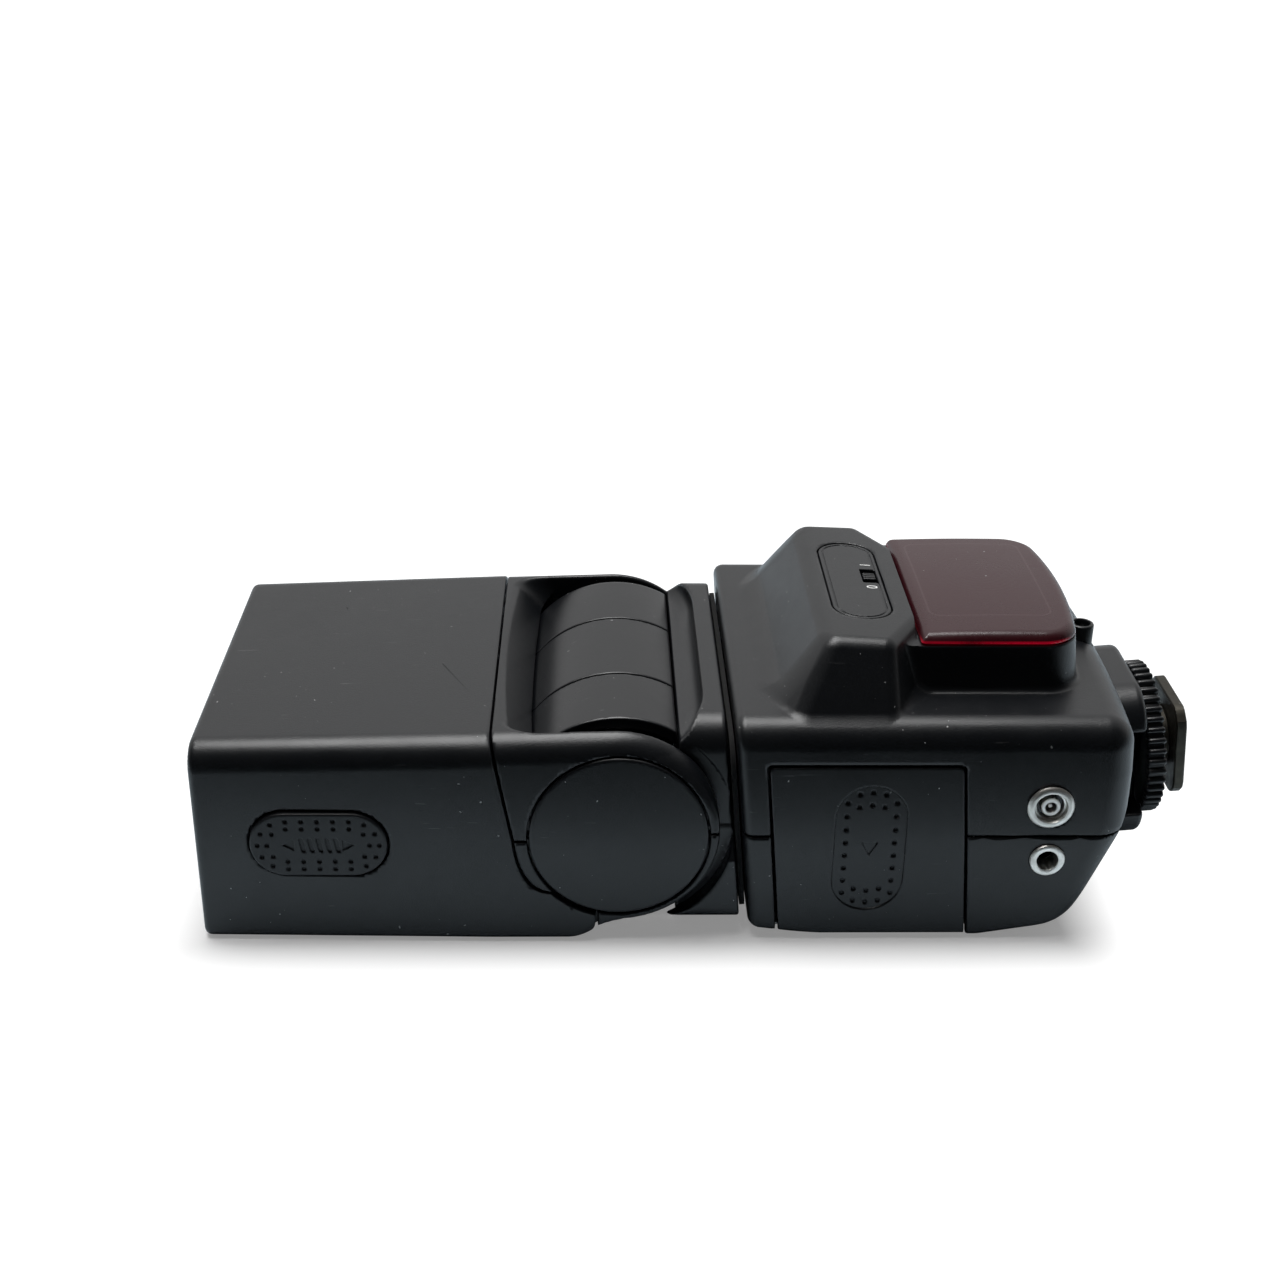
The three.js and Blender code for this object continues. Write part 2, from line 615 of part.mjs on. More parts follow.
const windowFoot = windowZ - 2.7;
const blockPlan = (inset) => outline([[windowX0 - 6, inset - windowHalfWidth],
  [windowX1 - 2 - inset, inset - windowHalfWidth, 7], [windowX1 - inset, 0, 12],
  [windowX1 - 2 - inset, windowHalfWidth - inset, 7], [windowX0 - 6, windowHalfWidth - inset]]);

/** Door edges lean like the swivel face. */
const doorX0 = bayX - 2.7;
const doorX1 = bayRight + 0.5;
const doorTop = bayTop + 2.1;
const doorInnerY = 3.1 - halfWidth;
const doorPivotY = doorInnerY + 0.5;
const doorPivotZ = 1.7;
const doorSlide = 2.5;         // travel that frees the door before it swings
const knuckleRadius = 1.1;
const pinRadius = 0.35;
const hingeX0 = bayX + 3;
const hingeX1 = bayRight - 3;
const pinX0 = doorX0 - 0.6;
const pinX1 = doorX1 + 4;

/** Room in the case for the battery bay. */
const batteryPocket = () =>
  box(bayX - gap, bayRight + gap, 2.6 - halfWidth, halfWidth - 8, bayZ - gap, bayTop + gap);

function doorPrism(shrink, yInside, z0) {
  const top = doorTop - shrink;
  return prismY(outline([[leanX(doorX0, z0) + shrink, z0], [leanX(doorX1, z0) - shrink, z0],
    [leanX(doorX1, top) - shrink, top, 1.2], [leanX(doorX0, top) + shrink, top, 1.2]]),
  -bodyWidth, yInside);
}

/** The whole body case before it is split: skin, cavity and the seat of the window. */
function bodyCase() {
  const block = prismZ(blockPlan(0), shoulderZ - 6, windowFoot);
  const outer = baseForm(0).add(crestForm(0)).add(block);
  const inner = baseForm(bodyWall)
    .subtract(box(0, neckX + neckGap + bodyWall + 14, -bodyWidth, bodyWidth, -20, 60,
      new THREE.Matrix4().multiplyMatrices(leaningFrame(neckX, hingeZ),
        new THREE.Matrix4().makeTranslation(-neckX - 14, 0, 0))))
    .add(crestForm(bodyWall).subtract(box(0, neckX + neckGap + 6, -99, 99, 0, 99)))
    .add(prismZ(windowPlan(bodyWall), shoulderZ - 6, windowFoot - bodyWall))
    .add(prismZ(windowPlan(3.6), shoulderZ - 6, windowFoot + 5));
  const neckSide = box(-40, neckGap, -bodyWidth, bodyWidth, -60, 80, neckFrame);
  const shaftHole = rod("x", swivelRadius + runGap, -5, 20, 0, 0, 36, neckFrame);
  return outer.subtract(inner).subtract(neckSide).subtract(shaftHole);
}

const postX = [neckX + neckGap + 4.6, bodyEnd - 6.6];
const postY = halfWidth - 8;
const postRadius = 2.6;

/** Screw posts from the floor or the roof of the case to its split line. */
function posts(z0, z1) {
  const list = [];
  for (const x of postX) {
    for (const y of [-postY, postY]) list.push(rod("z", postRadius, z0, z1, x, y, 16));
  }
  return joined(list).intersect(baseForm(0.5));
}

function screwHoles(radius, z0, z1) {
  const list = [];
  for (const x of postX) {
    for (const y of [-postY, postY]) list.push(rod("z", radius, z0, z1, x, y, 16));
  }
  return joined(list);
}

const baseHalfU = 15;          // foot base, half width and half height
const baseHalfV = 16;
const wheelBack = -(plateThickness + railGap + 0.7 + gap + wheelThickness);
const baseEnd = wheelBack - runGap;

/** Opening of the case for the foot base, in body coordinates. */
function footOpening() {
  const ring = roundedRing(-baseHalfU - gap, baseHalfU + gap, -baseHalfV - gap, baseHalfV + gap, 8);
  const at = (x) => ring.map(([y, z]) => new THREE.Vector3(x, y, z).applyMatrix4(footFrame).toArray());
  return loft([at(-footReach - 6.6), at(10)]);
}

const sensorX = bodyEnd - 2.2;
const sensorRadius = 2.35;
const sensorTop = shoulderZ + 2.6;

/** Frame of the label face: origin at its middle, X down its slope. */
const labelSlope = Math.atan2(labelDrop, labelX1 - labelX0);
const labelMiddle = (labelX0 + labelX1) / 2;
const labelFrame = new THREE.Matrix4().makeRotationY(labelSlope)
  .setPosition(labelMiddle, 0, crestZ - labelDrop / 2);
const labelLength = labelX1 - labelX0;
const labelHalf = 17.1;
const switchU = 3.2;           // slide switch, from the middle of the label
const switchV = 2;
const switchHalfU = 1.5;
const switchHalfV = 3.1;

function labelPrism(grow, w0, w1) {
  const a = labelLength / 2 + grow;
  const b = labelHalf + grow;
  const shape = outline([[-a, -b, 5], [a, -b, 5], [a, b, 5], [-a, b, 5]]);
  return solid(extrude(shape, w1 - w0, 4).translate(0, 0, w0).applyMatrix4(labelFrame));
}

const labelBox = (u0, u1, v0, v1, w0, w1) => box(u0, u1, v0, v1, w0, w1, labelFrame);

function frontShell(bodyForm) {
  const above = box(0, bodyEnd + 40, -99, 99, bodySeamZ + splitGap / 2, 99);
  const cuts = [
    doorPrism(0, doorInnerY + 1.2, -2),
    footOpening(),
    rod("y", pcRadius - 0.5 + gap, -bodyWidth, 0, socketX, bodySeamZ + 6.2, 24),
    rod("z", sensorRadius + gap, shoulderZ - 20, shoulderZ + 20, sensorX, 0, 20),
    labelPrism(gap, -1.1, 4),
    labelBox(switchU - 2.1, switchU + 1.9, switchV - 4.2, switchV + 4.2, -9, 2),
    prismZ(windowPlan(-gap), windowFoot, windowZ + 5),
    batteryPocket(),
    screwHoles(1.2, 0, bodySeamZ + 10)];
  const roof = posts(bodySeamZ, shoulderZ - 1);
  return bodyForm.add(roof).intersect(above).subtract(joined(cuts));
}

const panelX0 = bayRight + 1;
const panelX1 = panelX0 + 10;
const panelHalfY = 27;
const buttonX = (panelX0 + panelX1) / 2;
const buttonRadius = 2.6;
const buttonPlaces = { test_button: -20, mode_button: -8, plus_button: 2, minus_button: 12 };
const powerY = 22;

function backShell(bodyForm) {
  const below = box(0, bodyEnd + 40, -99, 99, -5, bodySeamZ - splitGap / 2);
  const cuts = [
    doorPrism(0, doorInnerY + 1.2, -2),
    footOpening(),
    rod("y", jackRadius - 0.6 + gap, -bodyWidth, 0, socketX + 0.5, bodySeamZ - 4.8, 24),
    box(panelX0, panelX1, -panelHalfY - gap, panelHalfY + gap, -1, 1.1),
    box(buttonX - 1.7, buttonX + 1.7, powerY - 3.4, powerY + 3.4, -1, 5),
    box(doorX0 + 1, doorX1 + 2.4, doorInnerY, doorPivotY + doorSlide + 2, -2, doorPivotZ - 0.2),
    rod("x", knuckleRadius + gap, hingeX0 - gap, hingeX1 + gap, doorPivotY, doorPivotZ, 16),
    rod("x", pinRadius + gap, pinX0 - gap, pinX1 + gap, doorPivotY, doorPivotZ, 12),
    batteryPocket(),
    screwHoles(2.2, -1, bodySeamZ - 8),
    screwHoles(1.3, 0, 60)];
  for (const y of Object.values(buttonPlaces)) {
    cuts.push(rod("z", buttonRadius + gap, -1, 5, buttonX, y, 20));
  }
  const floor = posts(0.5, bodySeamZ);
  return bodyForm.add(floor).intersect(below).subtract(joined(cuts));
}

function caseScrew(x, y) {
  const headZ = bodySeamZ - 8;
  return turned("z", [[0, headZ - 1.6], [1.9, headZ - 1.6], [1.9, headZ - gap], [1, headZ - gap],
    [1, bodySeamZ + 8], [0, bodySeamZ + 8]], x, y, 16);
}

// ---------------------------------------------------------------- battery door and bay
function batteryDoor(bodyForm) {
  const skin = bodyForm.intersect(doorPrism(gap, doorInnerY, 0.95));
  const r = knuckleRadius + gap;
  const raised = doorPivotZ + doorSlide;      // the door slides past its knuckles
  const knuckleRoom = joined([
    rod("x", r, pinX0, pinX1, doorPivotY, doorPivotZ, 16),
    rod("x", r, pinX0, pinX1, doorPivotY, raised, 16),
    box(pinX0, pinX1, doorPivotY - r, doorPivotY + r, doorPivotZ, raised)]);
  return skin.subtract(knuckleRoom);
}

/** Sprung plate that carries the door on its pin and bridges the cells. */
function doorHingePlate() {
  const y = doorInnerY + gap;
  const plate = box(hingeX0, hingeX1, y, y + 0.5, doorPivotZ, doorTop - 4);
  const knuckle = rod("x", knuckleRadius, hingeX0, hingeX1, doorPivotY, doorPivotZ, 16);
  return plate.add(knuckle).subtract(rod("x", pinRadius + 0.25, 0, bodyEnd, doorPivotY, doorPivotZ, 12));
}

const doorHingePin = () => rod("x", pinRadius, pinX0, pinX1, doorPivotY, doorPivotZ, 12);

const cellStart = bayMouthY + 0.9;
const bayEndY = cellStart + cellLength + 0.6 + 1 + gap;

function batteryBay() {
  const outer = box(bayX, bayRight, bayMouthY, bayEndY + bayWall, bayZ, bayTop);
  return outer.subtract(box(bayX + bayWall, bayRight - bayWall, bayMouthY - 1, bayEndY,
    bayZ + bayWall, bayTop - bayWall));
}

/** AA cell with its raised cap, standing along Y. */
function cell() {
  return turned("y", [[0, 0], [cellRadius - 0.4, 0], [cellRadius, 0.4], [cellRadius, cellLength - 1.8],
    [cellRadius - 0.6, cellLength - 1.2], [2.7, cellLength - 1.2], [2.7, cellLength],
    [0, cellLength]], 0, 0, 24);
}

const cellContacts = () => box(bayX + bayWall + gap, bayRight - bayWall - gap,
  bayEndY - 1 - gap, bayEndY - gap, bayZ + bayWall + gap, bayTop - bayWall - gap);

// ---------------------------------------------------------------- window, sensor, sockets, boards
function redWindow() {
  const levels = [[windowFoot + gap, 0], [windowZ - 1.9, 0.2], [windowZ - 0.8, 1], [windowZ, 2.8]];
  const ring = (inset, z) => {
    const points = windowPlan(inset).getPoints(4);
    const open = points.slice(0, -1);
    return open.map((p) => [p.x, p.y, z]);
  };
  const outer = loft(levels.map(([z, inset]) => ring(inset, z)));
  const inner = prismZ(windowPlan(2), windowFoot, windowZ - 2);
  return outer.subtract(inner);
}

/** Board under the window with the domed eye of the slave sensor on it. */
function sensorBoard() {
  const board = prismZ(windowPlan(bodyWall + 0.5), shoulderZ + 1.6, shoulderZ + 3);
  const eye = turned("z", [[0, shoulderZ + 2], [2.6, shoulderZ + 2], [2.6, shoulderZ + 5],
    [1.6, shoulderZ + 6.4], [0, shoulderZ + 6.8]], windowX1 - 15, 0, 20);
  return board.add(eye);
}

const sensorTube = () => turned("z", [[sensorRadius - 0.8, shoulderZ - 5], [sensorRadius, shoulderZ - 5],
  [sensorRadius, sensorTop], [sensorRadius - 0.8, sensorTop]], sensorX, 0, 24);
const sensorEye = () => rod("z", sensorRadius - 0.8 - gap, shoulderZ - 5, sensorTop - 1.2, sensorX, 0, 20);

function labelPlate() {
  const window = labelBox(switchU - switchHalfU, switchU + switchHalfU,
    switchV - switchHalfV, switchV + switchHalfV, -5, 5);
  return labelPrism(0, -1.1 + gap, -0.15).subtract(window);
}

/** Knob of the slide switch with its foot under the label. */
function switchKnob() {
  const knob = labelBox(switchU - switchHalfU + gap, switchU + switchHalfU - gap,
    switchV - 1.4, switchV + 1.4, -2.6, -0.1);
  const foot = labelBox(switchU - 1.8, switchU + 1.6, switchV - 2.4, switchV + 2.4, -2.8, -1.6);
  return knob.add(foot);
}

const socketFace = halfWidth + 0.15;

function pcRing() {
  const z = bodySeamZ + 6.2;
  return turned("y", [[2.3, -socketFace - 0.5], [pcRadius - 0.5, -socketFace - 0.5],
    [pcRadius, -socketFace - 0.1], [pcRadius, gap - halfWidth - gap], [pcRadius - 0.5, -halfWidth],
    [pcRadius - 0.5, 5.6 - halfWidth], [2.3, 5.6 - halfWidth]], socketX, z, 32);
}

/** Inner sleeve of the sync socket with its centre pin. */
const pcCore = () => turned("y", [[0, 0.6 - socketFace], [0.5, 0.6 - socketFace],
  [0.5, 3.8 - halfWidth], [0.95, 3.8 - halfWidth], [0.95, -socketFace], [1.75, -socketFace],
  [1.75, 5 - halfWidth], [0, 5 - halfWidth]], socketX, bodySeamZ + 6.2, 24);

const jackX = socketX + 0.5;
const jackZ = bodySeamZ - 4.8;
const jackRing = () => turned("y", [[1.9, -socketFace - 0.35], [jackRadius - 0.3, -socketFace - 0.35],
  [jackRadius, -socketFace], [jackRadius, gap - halfWidth - gap], [jackRadius - 0.6, -halfWidth],
  [jackRadius - 0.6, 3.6 - halfWidth], [1.9, 3.6 - halfWidth]], jackX, jackZ, 28);

function jackBody() {
  const back = 15 - halfWidth;
  const body = box(jackX - 3.6, jackX + 3.6, 3.9 - halfWidth, back, jackZ - 3.3, jackZ + 3.3);
  return body.subtract(rod("y", 1.8, -bodyWidth, back - 1.5, jackX, jackZ, 20));
}

const mainBoard = () => box(bayX + 0.5, bodyEnd - 10, -halfWidth + 5, halfWidth - 5,
  bayTop + 0.4, bayTop + 1.8);
const capacitorRadius = 8.6;
const capacitor = () => rod("y", capacitorRadius, -18, 28,
  bayRight + 0.5 + capacitorRadius, bodySeamZ - 1.8, 28);
const controlBoard = () => box(bayRight + 0.6, bodyEnd - 15.5, -panelHalfY, panelHalfY, 5.3, 6.7);

function controlPanel() {
  const cuts = Object.values(buttonPlaces).map(
    (y) => rod("z", buttonRadius + gap, -1, 3, buttonX, y, 20));
  cuts.push(box(buttonX - 1.7, buttonX + 1.7, powerY - 3.4, powerY + 3.4, -1, 3));
  return box(panelX0 + gap, panelX1 - gap, -panelHalfY, panelHalfY, 0.2, 0.8).subtract(joined(cuts));
}

/** Push button with a flange inside the case. */
const pushButton = () => turned("z", [[0, 0.25], [buttonRadius, 0.25], [buttonRadius, 3.3],
  [buttonRadius + 0.9, 3.3], [buttonRadius + 0.9, 4.5], [0, 4.5]], 0, 0, 20);

function powerSwitch() {
  const knob = box(-1.4, 1.4, -1.3, 1.3, 0.2, 4);
  return knob.add(box(-2.4, 2.4, -2.4, 2.4, 3.3, 4.5));
}

// ---------------------------------------------------------------- foot, in its leaning frame
function footBase() {
  const ring = roundedRing(-baseHalfU, baseHalfU, -baseHalfV, baseHalfV, 8);
  const at = (x, scale) => ring.map(([y, z]) => [x, y * scale, z * scale]);
  const inside = -footReach - 6;
  const block = loft([at(inside, 1), at(baseEnd - 3, 1), at(baseEnd, 0.93)]);
  const flange = box(inside - 2.5, inside, -baseHalfU - 2.5, baseHalfU + 2.5, -6, 10);
  const cuts = [rod("x", stemRadius + gap, -60, 5, 0, 0, 28)];
  for (const side of [-1, 1]) {
    cuts.push(rod("z", 9.5, -9, 9, baseEnd + 2.5, side * (baseHalfU + 2), 28));
  }
  return block.add(flange).subtract(joined(cuts));
}

function lockWheel() {
  const teeth = 40;
  const shape = new THREE.Shape();
  for (let i = 0; i < teeth; i += 1) {
    const step = 2 * Math.PI / teeth;
    const corners = [[-0.34, 1], [-0.2, 0], [0.2, 0], [0.34, 1]];
    for (const [part, low] of corners) {
      const r = wheelRadius - low;
      const angle = (i + part) * step;
      const point = [r * Math.cos(angle), r * Math.sin(angle)];
      if (i === 0 && part === -0.34) shape.moveTo(...point);
      else shape.lineTo(...point);
    }
  }
  const hole = rod("x", stemRadius + runGap, wheelBack - 1, wheelBack + wheelThickness + 1, 0, 0, 28);
  return prismX(shape, wheelBack, wheelBack + wheelThickness).subtract(hole);
}

function clampWasher() {
  const start = -plateThickness - railGap - 0.7;
  return turned("x", [[stemRadius + runGap, start], [9.5, start], [9.5, start + 0.7],
    [stemRadius + runGap, start + 0.7]], 0, 0, 32);
}

function footPlate() {
  const a = plateWidth / 2;
  const b = plateLength / 2;
  const cut = 2.4;
  const shape = outline([[-a + cut, -b], [a - cut, -b], [a, -b + cut], [a, b - cut], [a - cut, b],
    [-a + cut, b], [-a, b - cut], [-a, -b + cut]]);
  const plate = prismX(shape, -plateThickness, 0);
  const stem = rod("x", stemRadius, -footReach - 7, -plateThickness + 0.5, 0, 0, 28);
  return plate.add(stem).subtract(rod("x", 1.9, -60, 5, 0, 0, 24));
}

const contactPin = () => turned("x", [[0, -15.5], [1.55, -15.5], [1.55, 0.1], [1, 0.6], [0, 0.6]],
  0, 0, 20);

// ---------------------------------------------------------------- assembly
/** Part of a solid above or below the split line of the rear head shell. */
function half(body, z, above) {
  const cut = above
    ? box(-50, bodyEnd + 50, -99, 99, z + splitGap / 2, 99)
    : box(-50, bodyEnd + 50, -99, 99, -50, z - splitGap / 2);
  return body.intersect(cut);
}

function headPieces() {
  const rear = rearShell();
  const group = new THREE.Group();
  group.add(
    piece("head_sleeve", headSleeve(), shellBlack),
    piece("lens_frame", lensFrame(), trimBlack),
    piece("front_lens", frontLens(), lensClear),
    piece("wide_panel", widePanel(), lensClear),
    piece("bounce_card", bounceCard(), cardWhite),
    piece("reflector", reflector(), mirrorMetal),
    piece("flash_tube", flashTube(), tubeGlass),
    piece("zoom_carriage", zoomCarriage(), frameGrey),
    piece("zoom_screw", zoomScrew(), steel),
    piece("zoom_motor", zoomMotor(), steel),
    piece("lock_button_near", lockButton(-1), padBlack),
    piece("lock_button_far", lockButton(1), padBlack),
    piece("rear_shell_front", half(rear, seamZ, true), shellBlack),
    piece("rear_shell_back", half(rear, seamZ, false), shellBlack),
    piece("hinge_cap_near", hingeCap(-1), shellBlack),
    piece("hinge_cap_far", hingeCap(1), shellBlack),
    piece("hinge_shaft", hingeShaft(), steel));
  return group;
}

function neckPieces() {
  const group = new THREE.Group();
  group.add(
    piece("drum_near", drumSegment(-drumEnd, -drumSplit - gap / 2, true), shellBlack),
    piece("drum_middle", drumSegment(gap / 2 - drumSplit, drumSplit - gap / 2, true), shellBlack),
    piece("drum_far", drumSegment(drumSplit + gap / 2, drumEnd, false), shellBlack),
    piece("neck_collar", neckCollar(), shellBlack));
  const swivel = new THREE.Group();
  swivel.applyMatrix4(neckFrame);
  swivel.add(
    piece("swivel_disc", swivelDisc(), trimBlack),
    piece("swivel_shaft", swivelShaft(), steel));
  group.add(swivel);
  return group;
}

function casePieces() {
  const group = new THREE.Group();
  const bodyForm = bodyCase();
  group.add(
    piece("body_front_shell", frontShell(bodyForm), shellBlack),
    piece("body_back_shell", backShell(bodyForm), shellBlack),
    piece("battery_door", batteryDoor(bodyForm), shellBlack),
    piece("door_hinge_plate", doorHingePlate(), steel),
    piece("door_hinge_pin", doorHingePin(), steel));
  postX.forEach((x, i) => {
    group.add(piece(`case_screw_${i + 1}`, caseScrew(x, i === 0 ? postY : -postY), steel));
  });
  return group;
}

function powerPieces() {
  const group = new THREE.Group();
  group.add(
    piece("battery_bay", batteryBay(), frameGrey),
    piece("cell_contacts", cellContacts(), nickel),
    piece("main_board", mainBoard(), boardGreen),
    piece("capacitor", capacitor(), capacitorBlack));
  let count = 0;
  for (const i of [0, 1]) {
    for (const j of [0, 1]) {
      count += 1;
      const aa = piece(`aa_cell_${count}`, cell(), cellCover);
      const upright = (i + j) % 2 === 0;
      const x = bayX + bayWall + 0.3 + cellRadius + i * cellPitch;
      const z = bayZ + bayWall + 0.3 + cellRadius + j * cellPitch;
      aa.position.set(x, upright ? cellStart : cellStart + cellLength, z);
      aa.rotation.x = upright ? 0 : Math.PI;
      group.add(aa);
    }
  }
  return group;
}

function frontFittings() {
  const group = new THREE.Group();
  group.add(
    piece("red_window", redWindow(), redClear),
    piece("sensor_board", sensorBoard(), boardGreen),
    piece("sensor_tube", sensorTube(), trimBlack),
    piece("sensor_eye", sensorEye(), trimBlack),
    piece("label_plate", labelPlate(), trimBlack),
    piece("slide_switch_knob", switchKnob(), trimBlack),
    piece("pc_socket_ring", pcRing(), nickel),
    piece("pc_socket_core", pcCore(), nickel),
    piece("jack_socket_ring", jackRing(), nickel),
    piece("jack_socket_body", jackBody(), trimBlack));
  return group;
}

function backFittings() {
  const group = new THREE.Group();
  group.add(
    piece("control_board", controlBoard(), boardGreen),
    piece("control_panel", controlPanel(), trimBlack));
  for (const [name, y] of Object.entries(buttonPlaces)) {
    const button = piece(name, pushButton(), padBlack);
    button.position.set(buttonX, y, 0);
    group.add(button);
  }
  const power = piece("power_switch", powerSwitch(), padBlack);
  power.position.set(buttonX, powerY, 0);
  group.add(power);
  return group;
}

function footPieces() {
  const group = new THREE.Group();
  group.applyMatrix4(footFrame);
  group.add(
    piece("foot_base", footBase(), shellBlack),
    piece("lock_wheel", lockWheel(), trimBlack),
    piece("clamp_washer", clampWasher(), steel),
    piece("foot_plate", footPlate(), footMetal),
    piece("contact_pin", contactPin(), brass));
  return group;
}

const flash = new THREE.Group();
flash.add(headPieces(), neckPieces(), casePieces(), powerPieces(), frontFittings(), backFittings(),
  footPieces());
flash.updateMatrixWorld(true);

// The origin is the middle of the underside of the whole flash.
const extent = new THREE.Box3().setFromObject(flash, true);
const centre = extent.getCenter(new THREE.Vector3());
flash.position.set(-centre.x, -centre.y, -extent.min.z);

export default flash;
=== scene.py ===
"""A shoe-mount electronic flash lying on its back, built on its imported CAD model."""

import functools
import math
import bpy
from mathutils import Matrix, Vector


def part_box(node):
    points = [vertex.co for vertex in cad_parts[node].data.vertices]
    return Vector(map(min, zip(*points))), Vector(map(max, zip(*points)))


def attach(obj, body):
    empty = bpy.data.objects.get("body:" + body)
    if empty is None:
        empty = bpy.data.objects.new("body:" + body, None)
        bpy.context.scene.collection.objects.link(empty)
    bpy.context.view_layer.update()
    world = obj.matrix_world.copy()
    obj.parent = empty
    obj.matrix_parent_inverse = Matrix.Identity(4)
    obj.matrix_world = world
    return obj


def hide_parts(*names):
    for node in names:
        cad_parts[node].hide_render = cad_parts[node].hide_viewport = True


bl_info = {
    "name": "Camera flash on its back",
    "version": (1, 0, 0),
    "blender": (4, 5, 0),
    "location": "3D View > Sidebar > Flash",
    "description": "Builds the detailed pieces, finishes and studio of a shoe-mount flash",
    "category": "Add Mesh",
}

import bmesh
import bpy
import numpy as np
from mathutils import Matrix, Vector

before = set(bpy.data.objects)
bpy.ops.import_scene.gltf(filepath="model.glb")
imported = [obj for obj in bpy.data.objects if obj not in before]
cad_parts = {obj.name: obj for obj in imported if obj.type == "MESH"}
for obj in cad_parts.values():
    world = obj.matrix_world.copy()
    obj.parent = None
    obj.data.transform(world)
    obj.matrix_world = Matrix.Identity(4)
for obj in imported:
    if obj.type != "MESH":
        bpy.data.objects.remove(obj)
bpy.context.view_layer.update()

# ------------------------------------------------------------------ places, in millimetres
# Shapes are written in millimetres from the lens end of the head (x), the middle of the
# flash (y) and the table (z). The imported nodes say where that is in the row's frame.
MM = 0.001


def extent(node):
    """Lowest and highest corner of a CAD node, in millimetres in the row's frame."""
    low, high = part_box(node)
    return np.array(low) / MM, np.array(high) / MM


SLEEVE_LOW, SLEEVE_HIGH = extent("head_sleeve")
ORIGIN = np.array([SLEEVE_LOW[0], (SLEEVE_LOW[1] + SLEEVE_HIGH[1]) / 2, 0.0])


def local(node):
    """Lowest and highest corner of a CAD node, in millimetres from the lens end."""
    low, high = extent(node)
    return low - ORIGIN, high - ORIGIN


HEAD_LENGTH = 52.7
HEAD_TOP = SLEEVE_HIGH[2]
HEAD_TAPER, HEAD_SIDE_TAPER = 1.6, 1.1      # fall of its top and sides to the lens end
HALF = (local("body_front_shell")[1] - local("body_front_shell")[0])[1] / 2
WALL = 2.0
BODY_WALL = 2.3
GAP = 0.3              # room round a fitted piece
SPLIT_GAP = 0.35       # width of the seams between the shells
SHAFT_R = 4.0          # hinge shaft
SHAFT_HOLE = 4.3
SWIVEL_HOLE = 9.3
HINGE_X = local("hinge_shaft")[0][0] + SHAFT_R
HINGE_Z = local("hinge_shaft")[0][2] + SHAFT_R
SEAM = HINGE_Z - 0.6
BODY_SEAM = HINGE_Z + 0.4
ARM_R = 18.8
ARM_EDGE = 0.7
ARM_X, ARM_Z = HINGE_X - 0.7, HINGE_Z + 1.1
ARM_INSIDE = HALF - 4.7
TONGUE = ARM_INSIDE - 0.4
CAP_R = 16.1
CAP_DEPTH = 1.4
DRUM_R = 20.0
DRUM_ROOM = DRUM_R + 0.4
DRUM_FLAT = HINGE_X + 10.3
DRUM_GROOVE = 29.6
LOW_WINDOW_X = HINGE_X - 7.6    # end of the opening under the drum
PAD_X, PAD_Z = 22.2, HINGE_Z - 1.2
PAD_LENGTH, PAD_HEIGHT = 24.5, 12.9
LEAN = math.radians(5)          # of the swivel face, the door's ends and the foot
COS, SIN, TAN = math.cos(LEAN), math.sin(LEAN), math.tan(LEAN)
NECK_X = 96.3
NECK_GAP = 1.5
NECK_TOP = HINGE_Z + 20.3
BODY_END = 167.0
SHOULDER = 44.3
CREST = local("body_front_shell")[1][2]
WINDOW_TOP = local("red_window")[1][2]
WINDOW_FOOT = WINDOW_TOP - 2.7
WINDOW_X0, WINDOW_X1 = 129.6, 160.0
WINDOW_HALF = 23.1
WINDOW_BOW = 2.2                # how far the window's foot end bows out
LABEL_X, LABEL_Z = 120.25, CREST - 0.25
LABEL_LENGTH, LABEL_HALF = 10.7, 17.1
LABEL_SLOPE = math.atan2(0.5, LABEL_LENGTH)
SWITCH_U, SWITCH_V = 3.2, 2.0
SENSOR_X, SENSOR_R = 164.8, 2.35
SENSOR_TOP = local("sensor_tube")[1][2]
BAY_X0, BAY_X1, BAY_Z0, BAY_Z1 = 105.5, 137.5, 2.7, 34.7
DOOR_X0, DOOR_X1, DOOR_TOP = 102.8, 138.0, 36.8
DOOR_IN = 3.1 - HALF
DOOR_PAD_X, DOOR_PAD_Z = 120.6, 19.6
DOOR_TRAVEL = 2.5
SOCKET_X = 152.3
PC_Z, JACK_Z = BODY_SEAM + 6.2, BODY_SEAM - 4.8
PLATE_X, PLATE_Z = 185.7, HINGE_Z + 0.8
BUTTON_X = 143.5
BUTTONS = {"test_button": (-20, ""), "mode_button": (-8, ""), "plus_button": (2, "+"),
           "minus_button": (12, "−")}       # across the back, and the mark beside each
POWER_Y = 22
POST_X, POST_Y = (102.4, 160.4), HALF - 8


# ------------------------------------------------------------------ rounded solids
def meet(a, b, r=0.0):
    """Common part of two forms, with an outside edge of radius r."""
    return np.minimum(np.maximum(a, b), -r) + np.hypot(np.maximum(a + r, 0), np.maximum(b + r, 0))


def join(a, b, r=0.0):
    """Sum of two forms, with a fillet of radius r in the corner between them."""
    return np.maximum(np.minimum(a, b), r) - np.hypot(np.maximum(r - a, 0), np.maximum(r - b, 0))


def cut(a, b, r=0.0):
    """Form a without form b, with an edge of radius r."""
    return meet(a, -b, r)


def both(*forms):
    """Common part of forms, with sharp edges."""
    return functools.reduce(np.maximum, forms)


def either(*forms):
    """Sum of forms, with sharp corners between them."""
    return functools.reduce(np.minimum, forms)


def between(value, low, high):
    """Share of the way from low to high, kept between 0 and 1."""
    return np.clip((value - low) / (high - low), 0, 1)


def tube(u, v, radius):
    """Round bar about the axis where u and v are 0."""
    return np.hypot(u, v) - radius


def ball(u, v, w, radius):
    """Ball about the point where u, v and w are 0."""
    return np.sqrt(u ** 2 + v ** 2 + w ** 2) - radius


